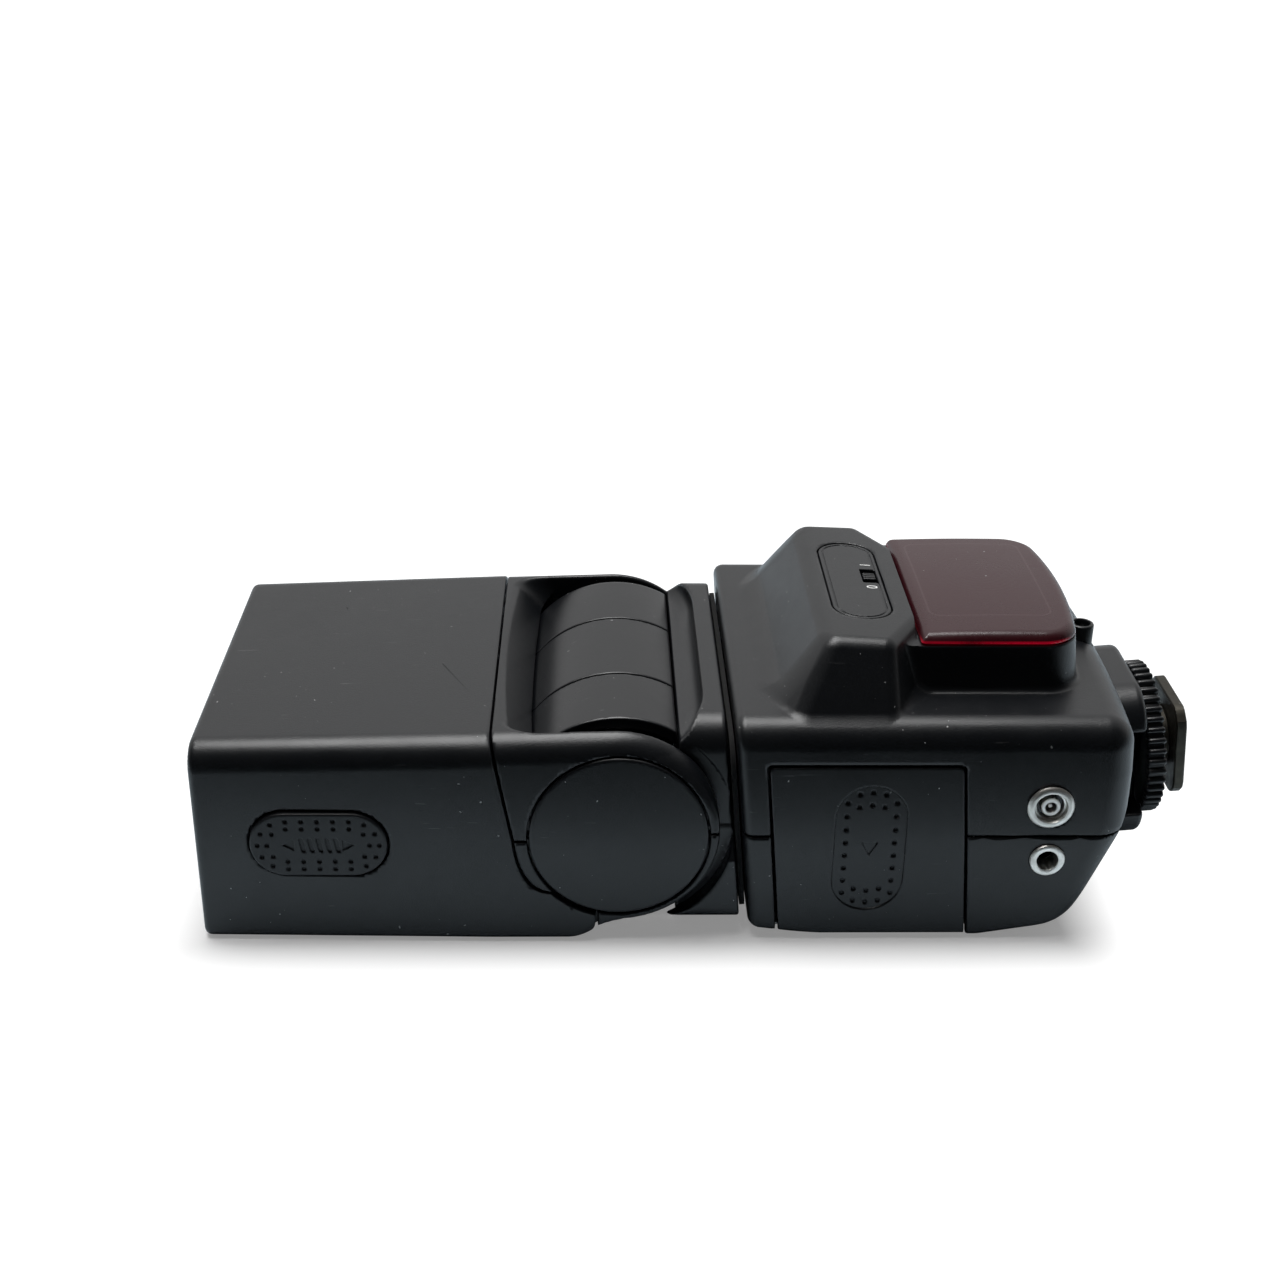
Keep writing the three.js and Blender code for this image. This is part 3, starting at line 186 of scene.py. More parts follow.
def slot_form(u, v, length, height):
    """Bar with round ends, along u."""
    reach = (length - height) / 2
    return np.hypot(np.maximum(np.abs(u) - reach, 0), v) - height / 2


def plate_form(u, v, half_u, half_v, r):
    """Bar with a rounded rectangle for its section."""
    du, dv = np.abs(u) - half_u + r, np.abs(v) - half_v + r
    return np.hypot(np.maximum(du, 0), np.maximum(dv, 0)) + np.minimum(np.maximum(du, dv), 0) - r


def facet(p, q, s, inside):
    """Plane through three points, as (normal, offset), that faces away from a point inside."""
    p, q, s = (np.array(point, float) for point in (p, q, s))
    normal = np.cross(q - p, s - p)
    normal /= np.linalg.norm(normal)
    if normal @ (np.array(inside) - p) > 0:
        normal = -normal
    return normal, normal @ p


def beyond(plane, x, y, z):
    """Distance in front of a plane."""
    normal, offset = plane
    return normal[0] * x + normal[1] * y + normal[2] * z - offset


def lean(x, z, x0=NECK_X, z0=HINGE_Z):
    """Places along and across the leaning axis through (x0, z0)."""
    return (x - x0) * COS + (z - z0) * SIN, (z - z0) * COS - (x - x0) * SIN


def lean_x(x, z):
    """X of a line that leans as the swivel face does, from its X at the hinge's height."""
    return x - TAN * (z - HINGE_Z)


def to_label(x, z):
    """Places along and above the sloping label face."""
    c, s = math.cos(LABEL_SLOPE), math.sin(LABEL_SLOPE)
    return (x - LABEL_X) * c - (z - LABEL_Z) * s, (x - LABEL_X) * s + (z - LABEL_Z) * c


def slopes(form, points, h=0.01):
    """Gradient of a form at points."""
    columns = []
    for axis in range(3):
        ahead, behind = points.copy(), points.copy()
        ahead[:, axis] += h
        behind[:, axis] -= h
        columns.append((form(*ahead.T) - form(*behind.T)) / (2 * h))
    return np.stack(columns, 1)


def normals_of(form, points):
    """Unit normals of a form at points."""
    slope = slopes(form, points)
    return slope / np.maximum(np.linalg.norm(slope, axis=1, keepdims=True), 1e-9)


GRID_SHIFT = 1.37      # keeps flat faces off the grid's own planes
ROOT_TURNS = 3         # halvings towards the surface on each grid edge
PULL = 0.02            # of each point towards the middle of its cell's crossings


def net(form, low, high, step):
    """Points and quads on the surface of a form inside a box. Each grid cell that the surface
    passes through gets one point, where the planes that touch the surface in it meet best, so
    edges stay straight and sharp."""
    low = low - GRID_SHIFT * step
    count = np.ceil((high - low) / step).astype(int) + 3
    axes = [low[i] + step * np.arange(count[i]) for i in range(3)]
    value = form(axes[0][:, None, None], axes[1][None, :, None], axes[2][None, None, :])
    value = np.broadcast_to(value, count)
    cells = count - 1
    quads, crossings, normals = [], [], []
    for axis in range(3):
        first = value.take(np.arange(count[axis] - 1), axis)
        second = value.take(np.arange(1, count[axis]), axis)
        crossing = (first < 0) != (second < 0)
        index = np.argwhere(crossing)
        a, b = first[crossing], second[crossing]
        inside = a < 0
        start = low + step * index
        near, far = np.zeros(len(a)), np.ones(len(a))
        for turn in range(ROOT_TURNS + 1):
            share = a / (a - b)
            if turn < ROOT_TURNS:
                share = np.clip(share, 0.05, 0.95)
            share = near + (far - near) * share
            point = start.copy()
            point[:, axis] += step * share
            if turn == ROOT_TURNS:
                break
            here = form(*point.T)
            same = (here < 0) == inside
            near, a = np.where(same, share, near), np.where(same, here, a)
            far, b = np.where(same, far, share), np.where(same, b, here)
        u, v = (axis + 1) % 3, (axis + 2) % 3
        touching = []
        for du, dv in ((1, 1), (0, 1), (0, 0), (1, 0)):
            cell = index.copy()
            cell[:, u] -= du
            cell[:, v] -= dv
            touching.append(np.ravel_multi_index(cell.T, cells))
        quad = np.stack(touching, 1)
        quad[~inside] = quad[~inside][:, ::-1]
        quads.append(quad)
        crossings.append(np.repeat(point, 4, 0))
        normals.append(np.repeat(normals_of(form, point), 4, 0))
    quads, crossings, normals = (np.concatenate(part) for part in (quads, crossings, normals))
    _, place = np.unique(quads.ravel(), return_inverse=True)
    total = np.bincount(place)

    def summed(values):
        return np.bincount(place, values)

    middle = np.stack([summed(crossings[:, i]) / total for i in range(3)], 1)
    reach = (normals * (crossings - middle[place])).sum(1)
    matrix = np.empty((len(middle), 3, 3))
    for i in range(3):
        for j in range(i, 3):
            matrix[:, i, j] = matrix[:, j, i] = summed(normals[:, i] * normals[:, j])
    matrix += PULL * total[:, None, None] * np.eye(3)
    side = np.stack([summed(normals[:, i] * reach) for i in range(3)], 1)
    moved = np.linalg.solve(matrix, side[:, :, None])[:, :, 0]
    far = np.linalg.norm(moved, axis=1, keepdims=True)
    points = middle + moved * np.minimum(1, 0.9 * step / np.maximum(far, 1e-9))
    slope = slopes(form, points)
    steep = np.maximum((slope ** 2).sum(1, keepdims=True), 0.25)
    points -= np.clip(form(*points.T)[:, None] * slope / steep, -0.25 * step, 0.25 * step)
    return points, place.reshape(-1, 4)


FLAT = math.radians(0.03)
SKIN_CREASE = math.cos(math.radians(40))


def read(items, key, size, kind=float):
    """Values of a property of all the items of a mesh, one row for each."""
    values = np.empty(len(items) * size, kind)
    items.foreach_get(key, values)
    return values.reshape(-1, size)


def skin(name, form, low, high, step):
    """Object with the surface of a form. Flat parts become single faces, and corners take
    their normals from the form, just inside the face where it is large."""
    points, quads = net(form, low, high, step)
    mesh = bpy.data.meshes.new(name)
    mesh.vertices.add(len(points))
    mesh.vertices.foreach_set("co", points.ravel())
    mesh.loops.add(quads.size)
    mesh.loops.foreach_set("vertex_index", quads.ravel())
    mesh.polygons.add(len(quads))
    mesh.polygons.foreach_set("loop_start", np.arange(0, quads.size, 4))
    mesh.update(calc_edges=True)
    work = bmesh.new()
    work.from_mesh(mesh)
    bmesh.ops.dissolve_limit(work, angle_limit=FLAT, verts=work.verts, edges=work.edges)
    bmesh.ops.triangulate(work, faces=[f for f in work.faces if len(f.verts) > 4])
    work.to_mesh(mesh)
    work.free()
    points = read(mesh.vertices, "co", 3)
    corner = read(mesh.loops, "vertex_index", 1, np.int32).ravel()
    sides = read(mesh.polygons, "loop_total", 1, np.int32).ravel()
    facing = np.repeat(read(mesh.polygons, "normal", 3), sides, 0)
    centre = np.repeat(read(mesh.polygons, "center", 3), sides, 0)
    wide = np.repeat(read(mesh.polygons, "area", 1).ravel(), sides) > 3 * step ** 2
    slope = normals_of(form, points)[corner]
    inward = (centre - points[corner])[wide]
    reach = np.linalg.norm(inward, axis=1, keepdims=True)
    probe = points[corner][wide] + inward * np.minimum(0.5, 0.6 * step / reach)
    slope[wide] = normals_of(form, probe)
    smooth = (slope * facing).sum(1, keepdims=True) > SKIN_CREASE
    mesh.vertices.foreach_set("co", ((points + ORIGIN) * MM).ravel())
    mesh.shade_smooth()
    mesh.normals_split_custom_set(np.where(smooth, slope, facing))
    return linked(name, mesh)


FINISH = {}            # the finishes by name, which main fills


def linked(name, data):
    """New object in the scene."""
    made = bpy.data.objects.new(name, data)
    bpy.context.scene.collection.objects.link(made)
    return made


def lathe(name, profile, place, axis, sides):
    """Turned piece from [radius, along] points about an axis through place, in millimetres.
    axis is the direction of along; the profile closes on itself or ends on the axis."""
    along = Vector(axis).normalized()
    first = along.orthogonal().normalized()
    second = along.cross(first)
    work = bmesh.new()
    rings = []
    closed = profile[0] == profile[-1]
    for radius, height in profile[:-1] if closed else profile:
        centre = Vector(place) + along * height
        if radius <= 0:
            rings.append([work.verts.new(centre)])
            continue
        ring = []
        for i in range(sides):
            angle = 2 * math.pi * i / sides
            ring.append(work.verts.new(
                centre + (first * math.cos(angle) + second * math.sin(angle)) * radius))
        rings.append(ring)
    for below, above in zip(rings, rings[1:] + rings[:1] if closed else rings[1:]):
        for i in range(sides):
            j = (i + 1) % sides
            corners = list(dict.fromkeys((
                below[i % len(below)], below[j % len(below)],
                above[j % len(above)], above[i % len(above)])))
            if len(corners) > 2:
                work.faces.new(corners)
    return shaded(name, work)


def shaded(name, work, crease=35, origin=ORIGIN):
    """Object from a bmesh in millimetres: moved, faced outwards and smoothed."""
    bmesh.ops.remove_doubles(work, verts=work.verts, dist=1e-5)
    bmesh.ops.recalc_face_normals(work, faces=work.faces)
    bmesh.ops.translate(work, verts=work.verts, vec=Vector(origin))
    bmesh.ops.scale(work, verts=work.verts, vec=(MM, MM, MM))
    mesh = bpy.data.meshes.new(name)
    work.to_mesh(mesh)
    work.free()
    mesh.shade_smooth()
    mesh.set_sharp_from_angle(angle=math.radians(crease))
    return linked(name, mesh)


def bridge(work, loop, other):
    """Joins two closed loops that have the same number of points."""
    for i in range(len(loop)):
        j = (i + 1) % len(loop)
        work.faces.new((loop[i], loop[j], other[j], other[i]))


def block(name, low, high, bevel):
    """Box with bevelled edges, in millimetres from the lens end."""
    low, high = Vector(low), Vector(high)
    place = Matrix.Translation((low + high) / 2) @ Matrix.Diagonal((*(high - low), 1))
    work = bmesh.new()
    bmesh.ops.create_cube(work, size=1.0, matrix=place)
    bmesh.ops.bevel(work, geom=work.edges[:], offset=bevel, segments=3, profile=0.5,
                    affect="EDGES")
    return shaded(name, work)


def fitted(piece, body, finish, slot, *nodes):
    """Puts a finished piece on its body, in place of its CAD nodes if it has any."""
    if finish:
        piece.data.materials.clear()
        piece.data.materials.append(FINISH[finish])
    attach(piece, body)
    if nodes:
        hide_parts(*nodes)


def moulding(node, name, form, step, body, finish, slot, margin=0.0):
    """Makes the skin of a form that takes a CAD node's place."""
    low, high = local(node)
    fitted(skin(name, form, low - margin, high + margin, step), body, finish, slot, node)


def turned(name, profile, place, axis, sides, body, finish, slot, *nodes):
    """Makes a turned piece and puts it on its body."""
    fitted(lathe(name, profile, place, axis, sides), body, finish, slot, *nodes)


def finish_nodes(**finishes):
    """Gives CAD nodes that keep their shape a better material: node=finish."""
    for node, finish in finishes.items():
        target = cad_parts[node]
        if not target.material_slots:
            target.data.materials.append(FINISH[finish])
        for place in target.material_slots:
            place.material = FINISH[finish]


# ------------------------------------------------------------------ forms of the head
def quadratic(a, b, c, count=20):
    """Points of a quadratic curve, as rows of x and z."""
    t = np.linspace(0, 1, count)[:, None]
    a, b, c = (np.array([point]) for point in (a, b, c))
    return a * (1 - t) ** 2 + 2 * b * t * (1 - t) + c * t ** 2


def cap_rim(start, end, radius):
    """Points of a circle about the hinge between two angles in degrees, as rows of x and z."""
    turn = np.radians(np.linspace(start, end, 20))[:, None]
    return np.hstack([HINGE_X + radius * np.cos(turn), HINGE_Z + radius * np.sin(turn)])


SPLIT_RIM = cap_rim(256, 224, CAP_R + 0.75)
SPLIT_END = (HEAD_LENGTH + 3.8, SEAM)
SPLIT_TOP = (HEAD_LENGTH - 0.9, HEAD_TOP + 5)
RIM_TO_END = quadratic(SPLIT_RIM[-1], (HEAD_LENGTH + 4.9, 10.4), SPLIT_END)[1:]
WALL_SPLIT = np.vstack([(SPLIT_RIM[0, 0], -5), SPLIT_RIM, RIM_TO_END, SPLIT_TOP])
FOOT_TO_END = quadratic((HEAD_LENGTH + 16, -5), (HEAD_LENGTH + 4.6, 7), SPLIT_END)
FLOOR_SPLIT = np.vstack([FOOT_TO_END, SPLIT_TOP])


def sleeve_side(x, y, z, shift=0.0):
    """Lens side of the split line, which follows the round cap in the side walls."""
    wall = x - shift - np.interp(z - shift, WALL_SPLIT[:, 1], WALL_SPLIT[:, 0])
    floor = x - shift - np.interp(z, FLOOR_SPLIT[:, 1], FLOOR_SPLIT[:, 0])
    return either(floor, both(wall, HALF - WALL - shift - np.abs(y)))


HEEL_X = 68.5


def heel_form(x, z):
    """Rise of the underside towards the round ends of the arms."""
    return (x - HEEL_X) * 0.62 - z * 0.784


def half_width(z, seam, taper, reach):
    """Half width of a shell at a height. The sides taper both ways from the seam, and are
    rounded off where they turn."""
    turn = 4
    return HALF - taper * (np.hypot(z - seam, turn) - turn) / reach


def rear_half(z):
    return half_width(z, SEAM, 0.8, 21)


def body_half(z):
    return half_width(z, BODY_SEAM, 0.9, 22)


def arm_edge(x, z, top, under):
    """Edge radius of the rear shells: wide along the front, and small round the arms."""
    low = under + (ARM_EDGE - under) * between(x, 60, 72)
    return low + (top - low) * between(z, 26, 38)


def head_form(x, y, z, top_edge, under_edge, inset=0.0):
    """Head as one block that narrows towards the lens, without its ends."""
    share = 1 - x / HEAD_LENGTH
    side = np.abs(y) - (HALF - HEAD_SIDE_TAPER * np.clip(share, 0, 1)) + inset
    form = meet(side, z - (HEAD_TOP - HEAD_TAPER * share) + inset, top_edge - 0.6 * inset)
    return meet(form, inset - z, under_edge)


def sleeve_form(sizes):
    """Thin sleeve of the head, cut off along the split line."""
    def form(x, y, z):
        outer = meet(head_form(x, y, z, sizes.long_edge, sizes.under_edge), -x, 1.3)
        form = cut(outer, head_form(x, y, z, sizes.long_edge, 1.2, WALL), 0.35)
        form = meet(form, sleeve_side(x, y, z), sizes.seam_edge)
        form = meet(form, heel_form(x, z), 1.5)
        form = both(form, -both(LOW_WINDOW_X - x, np.abs(y) - ARM_INSIDE))
        hole = slot_form(x - PAD_X, z - PAD_Z, PAD_LENGTH + 2 * GAP, PAD_HEIGHT + 2 * GAP)
        return cut(form, hole, 0.3)
    return form


def lock_pad_form(side):
    """Lock button with two rows of dimples, an arrow at each end and slanting ridges."""
    face = HALF - HEAD_SIDE_TAPER * (1 - PAD_X / HEAD_LENGTH) + 0.7
    flange_top = face - 3.2
    dimples = [(2.8 * i, row) for i in range(-2, 3) for row in (-4.95, -3.4, 3.4, 4.95)]
    for u, v in ((8.3, 4.3), (10.1, 2.4), (8.1, 2.35), (10.8, 0), (9.1, 0)):
        dimples += [(a, b) for a in (-u, u) for b in {v, -v}]

    def form(x, y, z):
        u, v, w = x - PAD_X, z - PAD_Z, side * y
        pad = slot_form(u, v, PAD_LENGTH, PAD_HEIGHT)
        form = meet(pad, w - face, 0.45)
        form = both(form, flange_top - w)
        flange = both(slot_form(u, v, PAD_LENGTH + 3, PAD_HEIGHT + 3), w - flange_top,
                      flange_top - 1 - w)
        form = either(form, flange)
        for a, b in dimples:
            form = cut(form, ball(u - a, v - b, w - face, 0.42), 0.1)
        for end in (-1, 1):
            tip = np.abs(v) * 0.88 + (end * u - 6.3) * 0.48
            arrow = both(tip, 4.3 - end * u)
            form = cut(form, both(arrow, face - 0.3 - w), 0.08)
        for i in range(5):
            along = u + 0.17 * v + 2.85 - 1.55 * i
            ridge = np.hypot(along, np.maximum(np.abs(v) - 1.1, 0)) - 0.38
            form = cut(form, both(ridge, face - 0.35 - w), 0.1)
        return form
    return form


def arm_side(x, z):
    """Side view of the rear shells, with the round end of the arms."""
    round_end = tube(x - ARM_X, z - ARM_Z, ARM_R)
    top = z - (HEAD_TOP + (x - HEAD_LENGTH) * (ARM_Z + ARM_R - HEAD_TOP) / (ARM_X - HEAD_LENGTH))
    front = both(top, x - ARM_X, meet(-z, heel_form(x, z), 1.5))
    under = join(round_end, front, 2 * between(z, 15, 7))
    return np.where(z > ARM_Z, np.where(x < ARM_X, top, round_end), under)


def scoop_wall(x, y, z):
    """Slanting wall on the lens side of the drum's recess, curved across the head."""
    edge = HEAD_LENGTH + 1.3 + 1.7 * (y / ARM_INSIDE) ** 2
    return (edge - x) * 0.783 + (HEAD_TOP - z) * 0.622


def drum_room(x, y, z):
    """Recess for the drum between the arms, open towards the table."""
    ring = tube(x - HINGE_X, z - HINGE_Z, DRUM_ROOM)
    under = both(LOW_WINDOW_X - x, z - HINGE_Z)
    scoop = both(scoop_wall(x, y, z), HINGE_Z + 11.4 - z)
    inside = np.abs(y) - ARM_INSIDE
    deep = either(ring, under, HINGE_X - x)
    return either(both(deep, inside), meet(scoop, inside, 4.5))


def rear_seam(x):
    """Height of the seam between the rear shells, which steps up behind the caps."""
    return SEAM + 1.5 * between(x, 86, 92)


def rear_form(sizes, front):
    """One of the two rear shells, hollow towards the lens."""
    def form(x, y, z):
        across, ring = np.abs(y), np.hypot(x - HINGE_X, z - HINGE_Z)
        edge = arm_edge(x, z, sizes.long_edge - 0.2, sizes.under_edge)
        form = meet(arm_side(x, z), across - rear_half(z), edge)
        form = cut(form, drum_room(x, y, z), 0.8)
        form = cut(form, both(ring - CAP_R - 0.32, HALF - CAP_DEPTH - across), 0.35)
        room = both(x - HEAD_LENGTH - 12, across - HALF + WALL + 0.6, WALL - z,
                    z - HEAD_TOP + WALL + 0.4, DRUM_ROOM + WALL - ring,
                    WALL - scoop_wall(x, y, z))
        form = cut(form, room, 0.3)
        form = cut(form, sleeve_side(x, y, z, SPLIT_GAP), sizes.seam_edge)
        form = cut(form, ring - SHAFT_HOLE, 0.2)
        seam = (z - rear_seam(x)) * (-1 if front else 1)
        return meet(form, seam + SPLIT_GAP / 2, 0.25)
    return form


def cap_form(side):
    """Round cap that fills the recess in an arm."""
    def form(x, y, z):
        rim = tube(x - HINGE_X, z - HINGE_Z, CAP_R)
        cap = meet(rim, side * y - rear_half(z), 0.5)
        return both(cap, HALF - CAP_DEPTH + GAP - side * y)
    return form


def drum_form(y0, y1, web_first):
    """Ring of the drum with a web at one end and a groove by the arms."""
    def form(x, y, z):
        ring = np.hypot(x - HINGE_X, z - HINGE_Z)
        form = meet(ring - DRUM_R, both(y0 - y, y - y1), 0.45)
        hollow = both(ring - (DRUM_R - 2.2), y0 + 2 - y if web_first else y - y1 + 2)
        form = cut(cut(form, hollow, 0.2), ring - SHAFT_HOLE, 0.2)
        form = cut(form, both(DRUM_GROOVE - np.abs(y), DRUM_R - 2.4 - ring), 0.3)
        return meet(form, x - DRUM_FLAT, 0.3)
    return form


# ------------------------------------------------------------------ forms of the neck and body
def collar_form(x, y, z):
    """Neck: a wide foot under the arms, a tongue between them and a dish towards the drum."""
    across, ring = np.abs(y), np.hypot(x - HINGE_X, z - HINGE_Z)
    foot = across - (HALF - 1.7) + 0.58 * np.maximum(z - HINGE_Z + 6, 0)
    foot = meet(foot, HINGE_Z - ARM_R - z, 3)
    foot = both(foot, HINGE_X + 5 - x, z - HINGE_Z - 3)
    tongue = meet(across - TONGUE, z - NECK_TOP, 6)
    tongue = both(tongue, 18 - z, DRUM_FLAT + GAP - x)
    swept = both(ring - (ARM_R + 1.8), TONGUE - across)
    form = cut(either(foot, tongue), swept, 0.5)
    form = cut(form, both(x - DRUM_FLAT - GAP, across - TONGUE - GAP), 0.3)
    start = 87.9 - 3.5 * np.clip((across - 19) / 13.5, 0, 1.1) ** 2
    dish = tube(np.maximum(x - start, 0), np.minimum(z - NECK_TOP + 1, 0), 3)
    form = cut(form, dish, 0.5)
    along, up = lean(x, z)
    return cut(meet(form, along, 0.5), tube(y, up, SWIVEL_HOLE), 0.3)


def disc_form(x, y, z):
    """Friction plate between the neck and the body, with the shaft's hole."""
    along, up = lean(x, z)
    form = plate_form(y, up + 0.9, HALF - 3.3, 18.2, 6)
    form = both(form, np.abs(along - NECK_GAP / 2) - NECK_GAP / 2 + GAP)
    return cut(form, tube(y, up, SWIVEL_HOLE), 0.1)


def line_form(x0, z0, x1, z1):
    """Half plane to the right of a line that rises from one point to another."""
    size = math.hypot(x1 - x0, z1 - z0)
    return lambda x, z: ((x - x0) * (z1 - z0) - (z - z0) * (x1 - x0)) / size


HEEL_1 = line_form(142, 0, 157, 2.6)
HEEL_2 = line_form(157, 2.6, 162.5, 6.5)
HEEL_3 = line_form(162.5, 6.5, 168.6, 22.4)


def base_form(x, y, z, sizes, inset=0.0):
    """Body without its crest."""
    side = np.abs(y) - body_half(z) + inset
    swollen = x + 2 * (y / HALF) ** 2
    end = swollen - BODY_END - 2 + 0.07 * np.maximum(z - 34, 0)
    end = meet(end, HEEL_3(swollen, z), 1.5) + inset
    plan = meet(end, side, max(5 - 0.6 * inset, 0.3))
    under = meet(both(-z, 3.6 - 0.136 * (x - 86.3) - z), HEEL_1(x, z), 0.6)
    under = meet(under, HEEL_2(x, z), 2.5) + inset
    edge = sizes.under_edge + (sizes.long_edge - sizes.under_edge) * between(z, 6, 16)
    profile = both(under, z - SHOULDER + inset)
    return meet(plan, profile, np.maximum(edge - 0.6 * inset, 0.3))


CREST_IN = (118, 0, 48)
RAMP = facet((102.3, -5, 43.5), (102.3, 5, 43.5), (112, 0, CREST), CREST_IN)
SIDE = facet((110, 33.7, SHOULDER), (120, 33.7, SHOULDER), (115, 26.5, CREST), CREST_IN)
RAMP_CORNER = facet((103.0, 27, SHOULDER), (107.0, 33.7, SHOULDER), (112.5, 26.0, CREST),
                    CREST_IN)
END_CORNER = facet((124.4, 33.7, SHOULDER), (130.6, 23, SHOULDER), (124.9, 24.6, CREST),
                   CREST_IN)
RAISED_LOW = SHOULDER - 1.8     # where the crest and the block end inside the body


def crest_form(x, y, z, inset=0.0):
    """Crest between the neck and the window: a ramp, a label face and steep facets."""
    across = np.abs(y)
    side = meet(beyond(RAMP_CORNER, x, across, z), beyond(SIDE, x, across, z), 1.4)
    side = meet(side, beyond(END_CORNER, x, across, z), 1.4)
    face = both(z - CREST, to_label(x, z)[1])
    top = meet(beyond(RAMP, x, across, z), face, 1.6)
    form = meet(top, side, 1.5)
    return both(both(form, x - 133) + inset, RAISED_LOW - z)


def rounded_plan(x, y, inset):
    """Outline of the red window and its block, open towards the crest."""
    end = x - (WINDOW_X1 - WINDOW_BOW * (y / WINDOW_HALF) ** 2) + inset
    return meet(np.abs(y) - WINDOW_HALF + inset, end, 6)


def block_form(x, y, z, inset=0.0):
    """Block that carries the red window."""
    plan = rounded_plan(x, y, inset - 0.11 * np.maximum(WINDOW_FOOT - z, 0))
    ends = both(WINDOW_X0 - 6 - x, RAISED_LOW - z)
    return both(plan, ends, z - WINDOW_FOOT + inset)


def window_plan(x, y, inset=0.0):
    """Outline of the red window."""
    return meet(rounded_plan(x, y, inset), WINDOW_X0 - x + inset, 0.8)


def label_form(u, y, grow=0.0):
    """Outline of the label plate."""
    return plate_form(u, y, LABEL_LENGTH / 2 + grow, LABEL_HALF + grow, 5 + grow)


def from_posts(x, y):
    """Distance from the nearest of the axes of the four screw posts."""
    return np.minimum(*(np.hypot(x - post, np.abs(y) - POST_Y) for post in POST_X))


def body_form(x, y, z, sizes):
    """The whole case of the body, before it is split."""
    along, _ = lean(x, z)
    fillet = 0.8 + 1.8 * between(np.abs(y), 31, 23)
    outer = join(base_form(x, y, z, sizes), crest_form(x, y, z), fillet)
    outer = join(outer, block_form(x, y, z), 1.0)
    outer = meet(outer, NECK_GAP - along, 2.0)
    hollow = both(base_form(x, y, z, sizes, BODY_WALL), NECK_GAP + BODY_WALL - along)
    crest = both(crest_form(x, y, z, BODY_WALL), NECK_X + 8.3 - x)
    raised = either(crest, block_form(x, y, z, BODY_WALL), window_plan(x, y, 3.6))
    hollow = either(hollow, both(raised, 40 - z))
    post = both(from_posts(x, y) - 2.6, base_form(x, y, z, sizes, 0.6))
    return either(cut(outer, hollow, 0.3), post)


def door_plan(x, z, shrink=0.0):
    """Door opening, whose ends lean as the swivel face does."""
    start, end = lean_x(DOOR_X0, z) + shrink - x, x - lean_x(DOOR_X1, z) + shrink
    return meet(both(start, end), z - DOOR_TOP + shrink, 1.0)


def foot_room(x, y, z):
    """Opening in the body for the foot block."""
    along, up = lean(x, z, PLATE_X, PLATE_Z)
    return both(plate_form(y, up, 15.3, 16.3, 8), -25.3 - along)


def shell_form(sizes, front):
    """Front or back shell of the body, with the openings for what sits in it."""
    def form(x, y, z):
        form = body_form(x, y, z, sizes)
        form = cut(form, both(door_plan(x, z), y - DOOR_IN - 1.2), 0.3)
        form = cut(form, foot_room(x, y, z), 0.8)
        bay = both(BAY_X0 - GAP - x, x - BAY_X1 - GAP, BAY_Z0 - GAP - z, z - BAY_Z1 - GAP)
        form = cut(form, both(bay, 2.6 - HALF - y, y - HALF + 8), 0.2)
        if front:
            form = cut(form, both(tube(x - SOCKET_X, z - PC_Z, 4.0), y), 0.3)
            form = cut(form, both(tube(x - SENSOR_X, y, SENSOR_R + GAP), 24.3 - z), 0.3)
            u, w = to_label(x, z)
            form = cut(form, both(label_form(u, y, GAP), -1.1 - w), 0.25)
            switch = plate_form(u - SWITCH_U + 0.1, y - SWITCH_V, 2.0, 4.2, 0.3)
            form = cut(form, both(switch, -9 - w), 0.1)
            form = cut(form, both(window_plan(x, y, -GAP), WINDOW_FOOT - z), 0.25)
            return meet(form, BODY_SEAM + SPLIT_GAP / 2 - z, sizes.seam_edge)
        form = cut(form, both(tube(x - SOCKET_X - 0.5, z - JACK_Z, 2.9), y), 0.3)
        panel = plate_form(x - BUTTON_X, y, 5, 27.3, 1.0)
        form = cut(form, both(panel, z - 1.1), 0.2)
        for place, _ in BUTTONS.values():
            form = cut(form, both(tube(x - BUTTON_X, y - place, 2.9), z - 5), 0.2)
        track = plate_form(x - BUTTON_X, y - POWER_Y, 1.7, 3.4, 0.3)
        form = cut(form, both(track, z - 5), 0.2)
        knuckles = both(DOOR_X0 + 1 - x, x - DOOR_X1 - 2.4, DOOR_IN - y, y - DOOR_IN - 5,
                        z - 1.5)
        form = cut(form, knuckles, 0.15)
        screws = from_posts(x, y)
        form = cut(form, both(screws - 2.2, z - 14.4), 0.3)
        form = cut(form, screws - 1.3, 0.1)
        return meet(form, z - BODY_SEAM + SPLIT_GAP / 2, sizes.seam_edge)
    return form


def door_form(sizes):
    """Battery door with the finger pad: a shallow dish with dimples and a small arrow."""
    dimples = [(a, 2.74 * (i - 3.5)) for a in (-4.4, 4.4) for i in range(8)]
    for v in (8.7, 11.3):
        dimples += [(a, b) for a in (-2.3, 2.3) for b in (-v, v)]
        dimples += [(0, v + 0.4), (0, -v - 0.4)]

    def form(x, y, z):
        form = base_form(x, y, z, sizes)
        form = meet(form, both(door_plan(x, z, 0.45), 0.95 - z), 0.3)
        form = both(form, y - DOOR_IN)
        travelled = z - np.clip(z, 1.7, 1.7 + DOOR_TRAVEL)
        form = cut(form, tube(y - DOOR_IN - 0.5, travelled, 1.4), 0.1)
        u, v, w = x - DOOR_PAD_X, z - DOOR_PAD_Z, -body_half(z) - y
        pad = slot_form(v, u, 26.0, 12.8)
        form = cut(form, both(pad, -0.35 - w), 0.3)
        for a, b in dimples:
            form = cut(form, ball(u - a, v - b, w + 0.35, 0.45), 0.1)
        arrow = both(np.abs(u) * 0.88 - (v + 1.3) * 0.475, v - 1.4)
        return cut(form, both(arrow, -0.65 - w), 0.08)
    return form


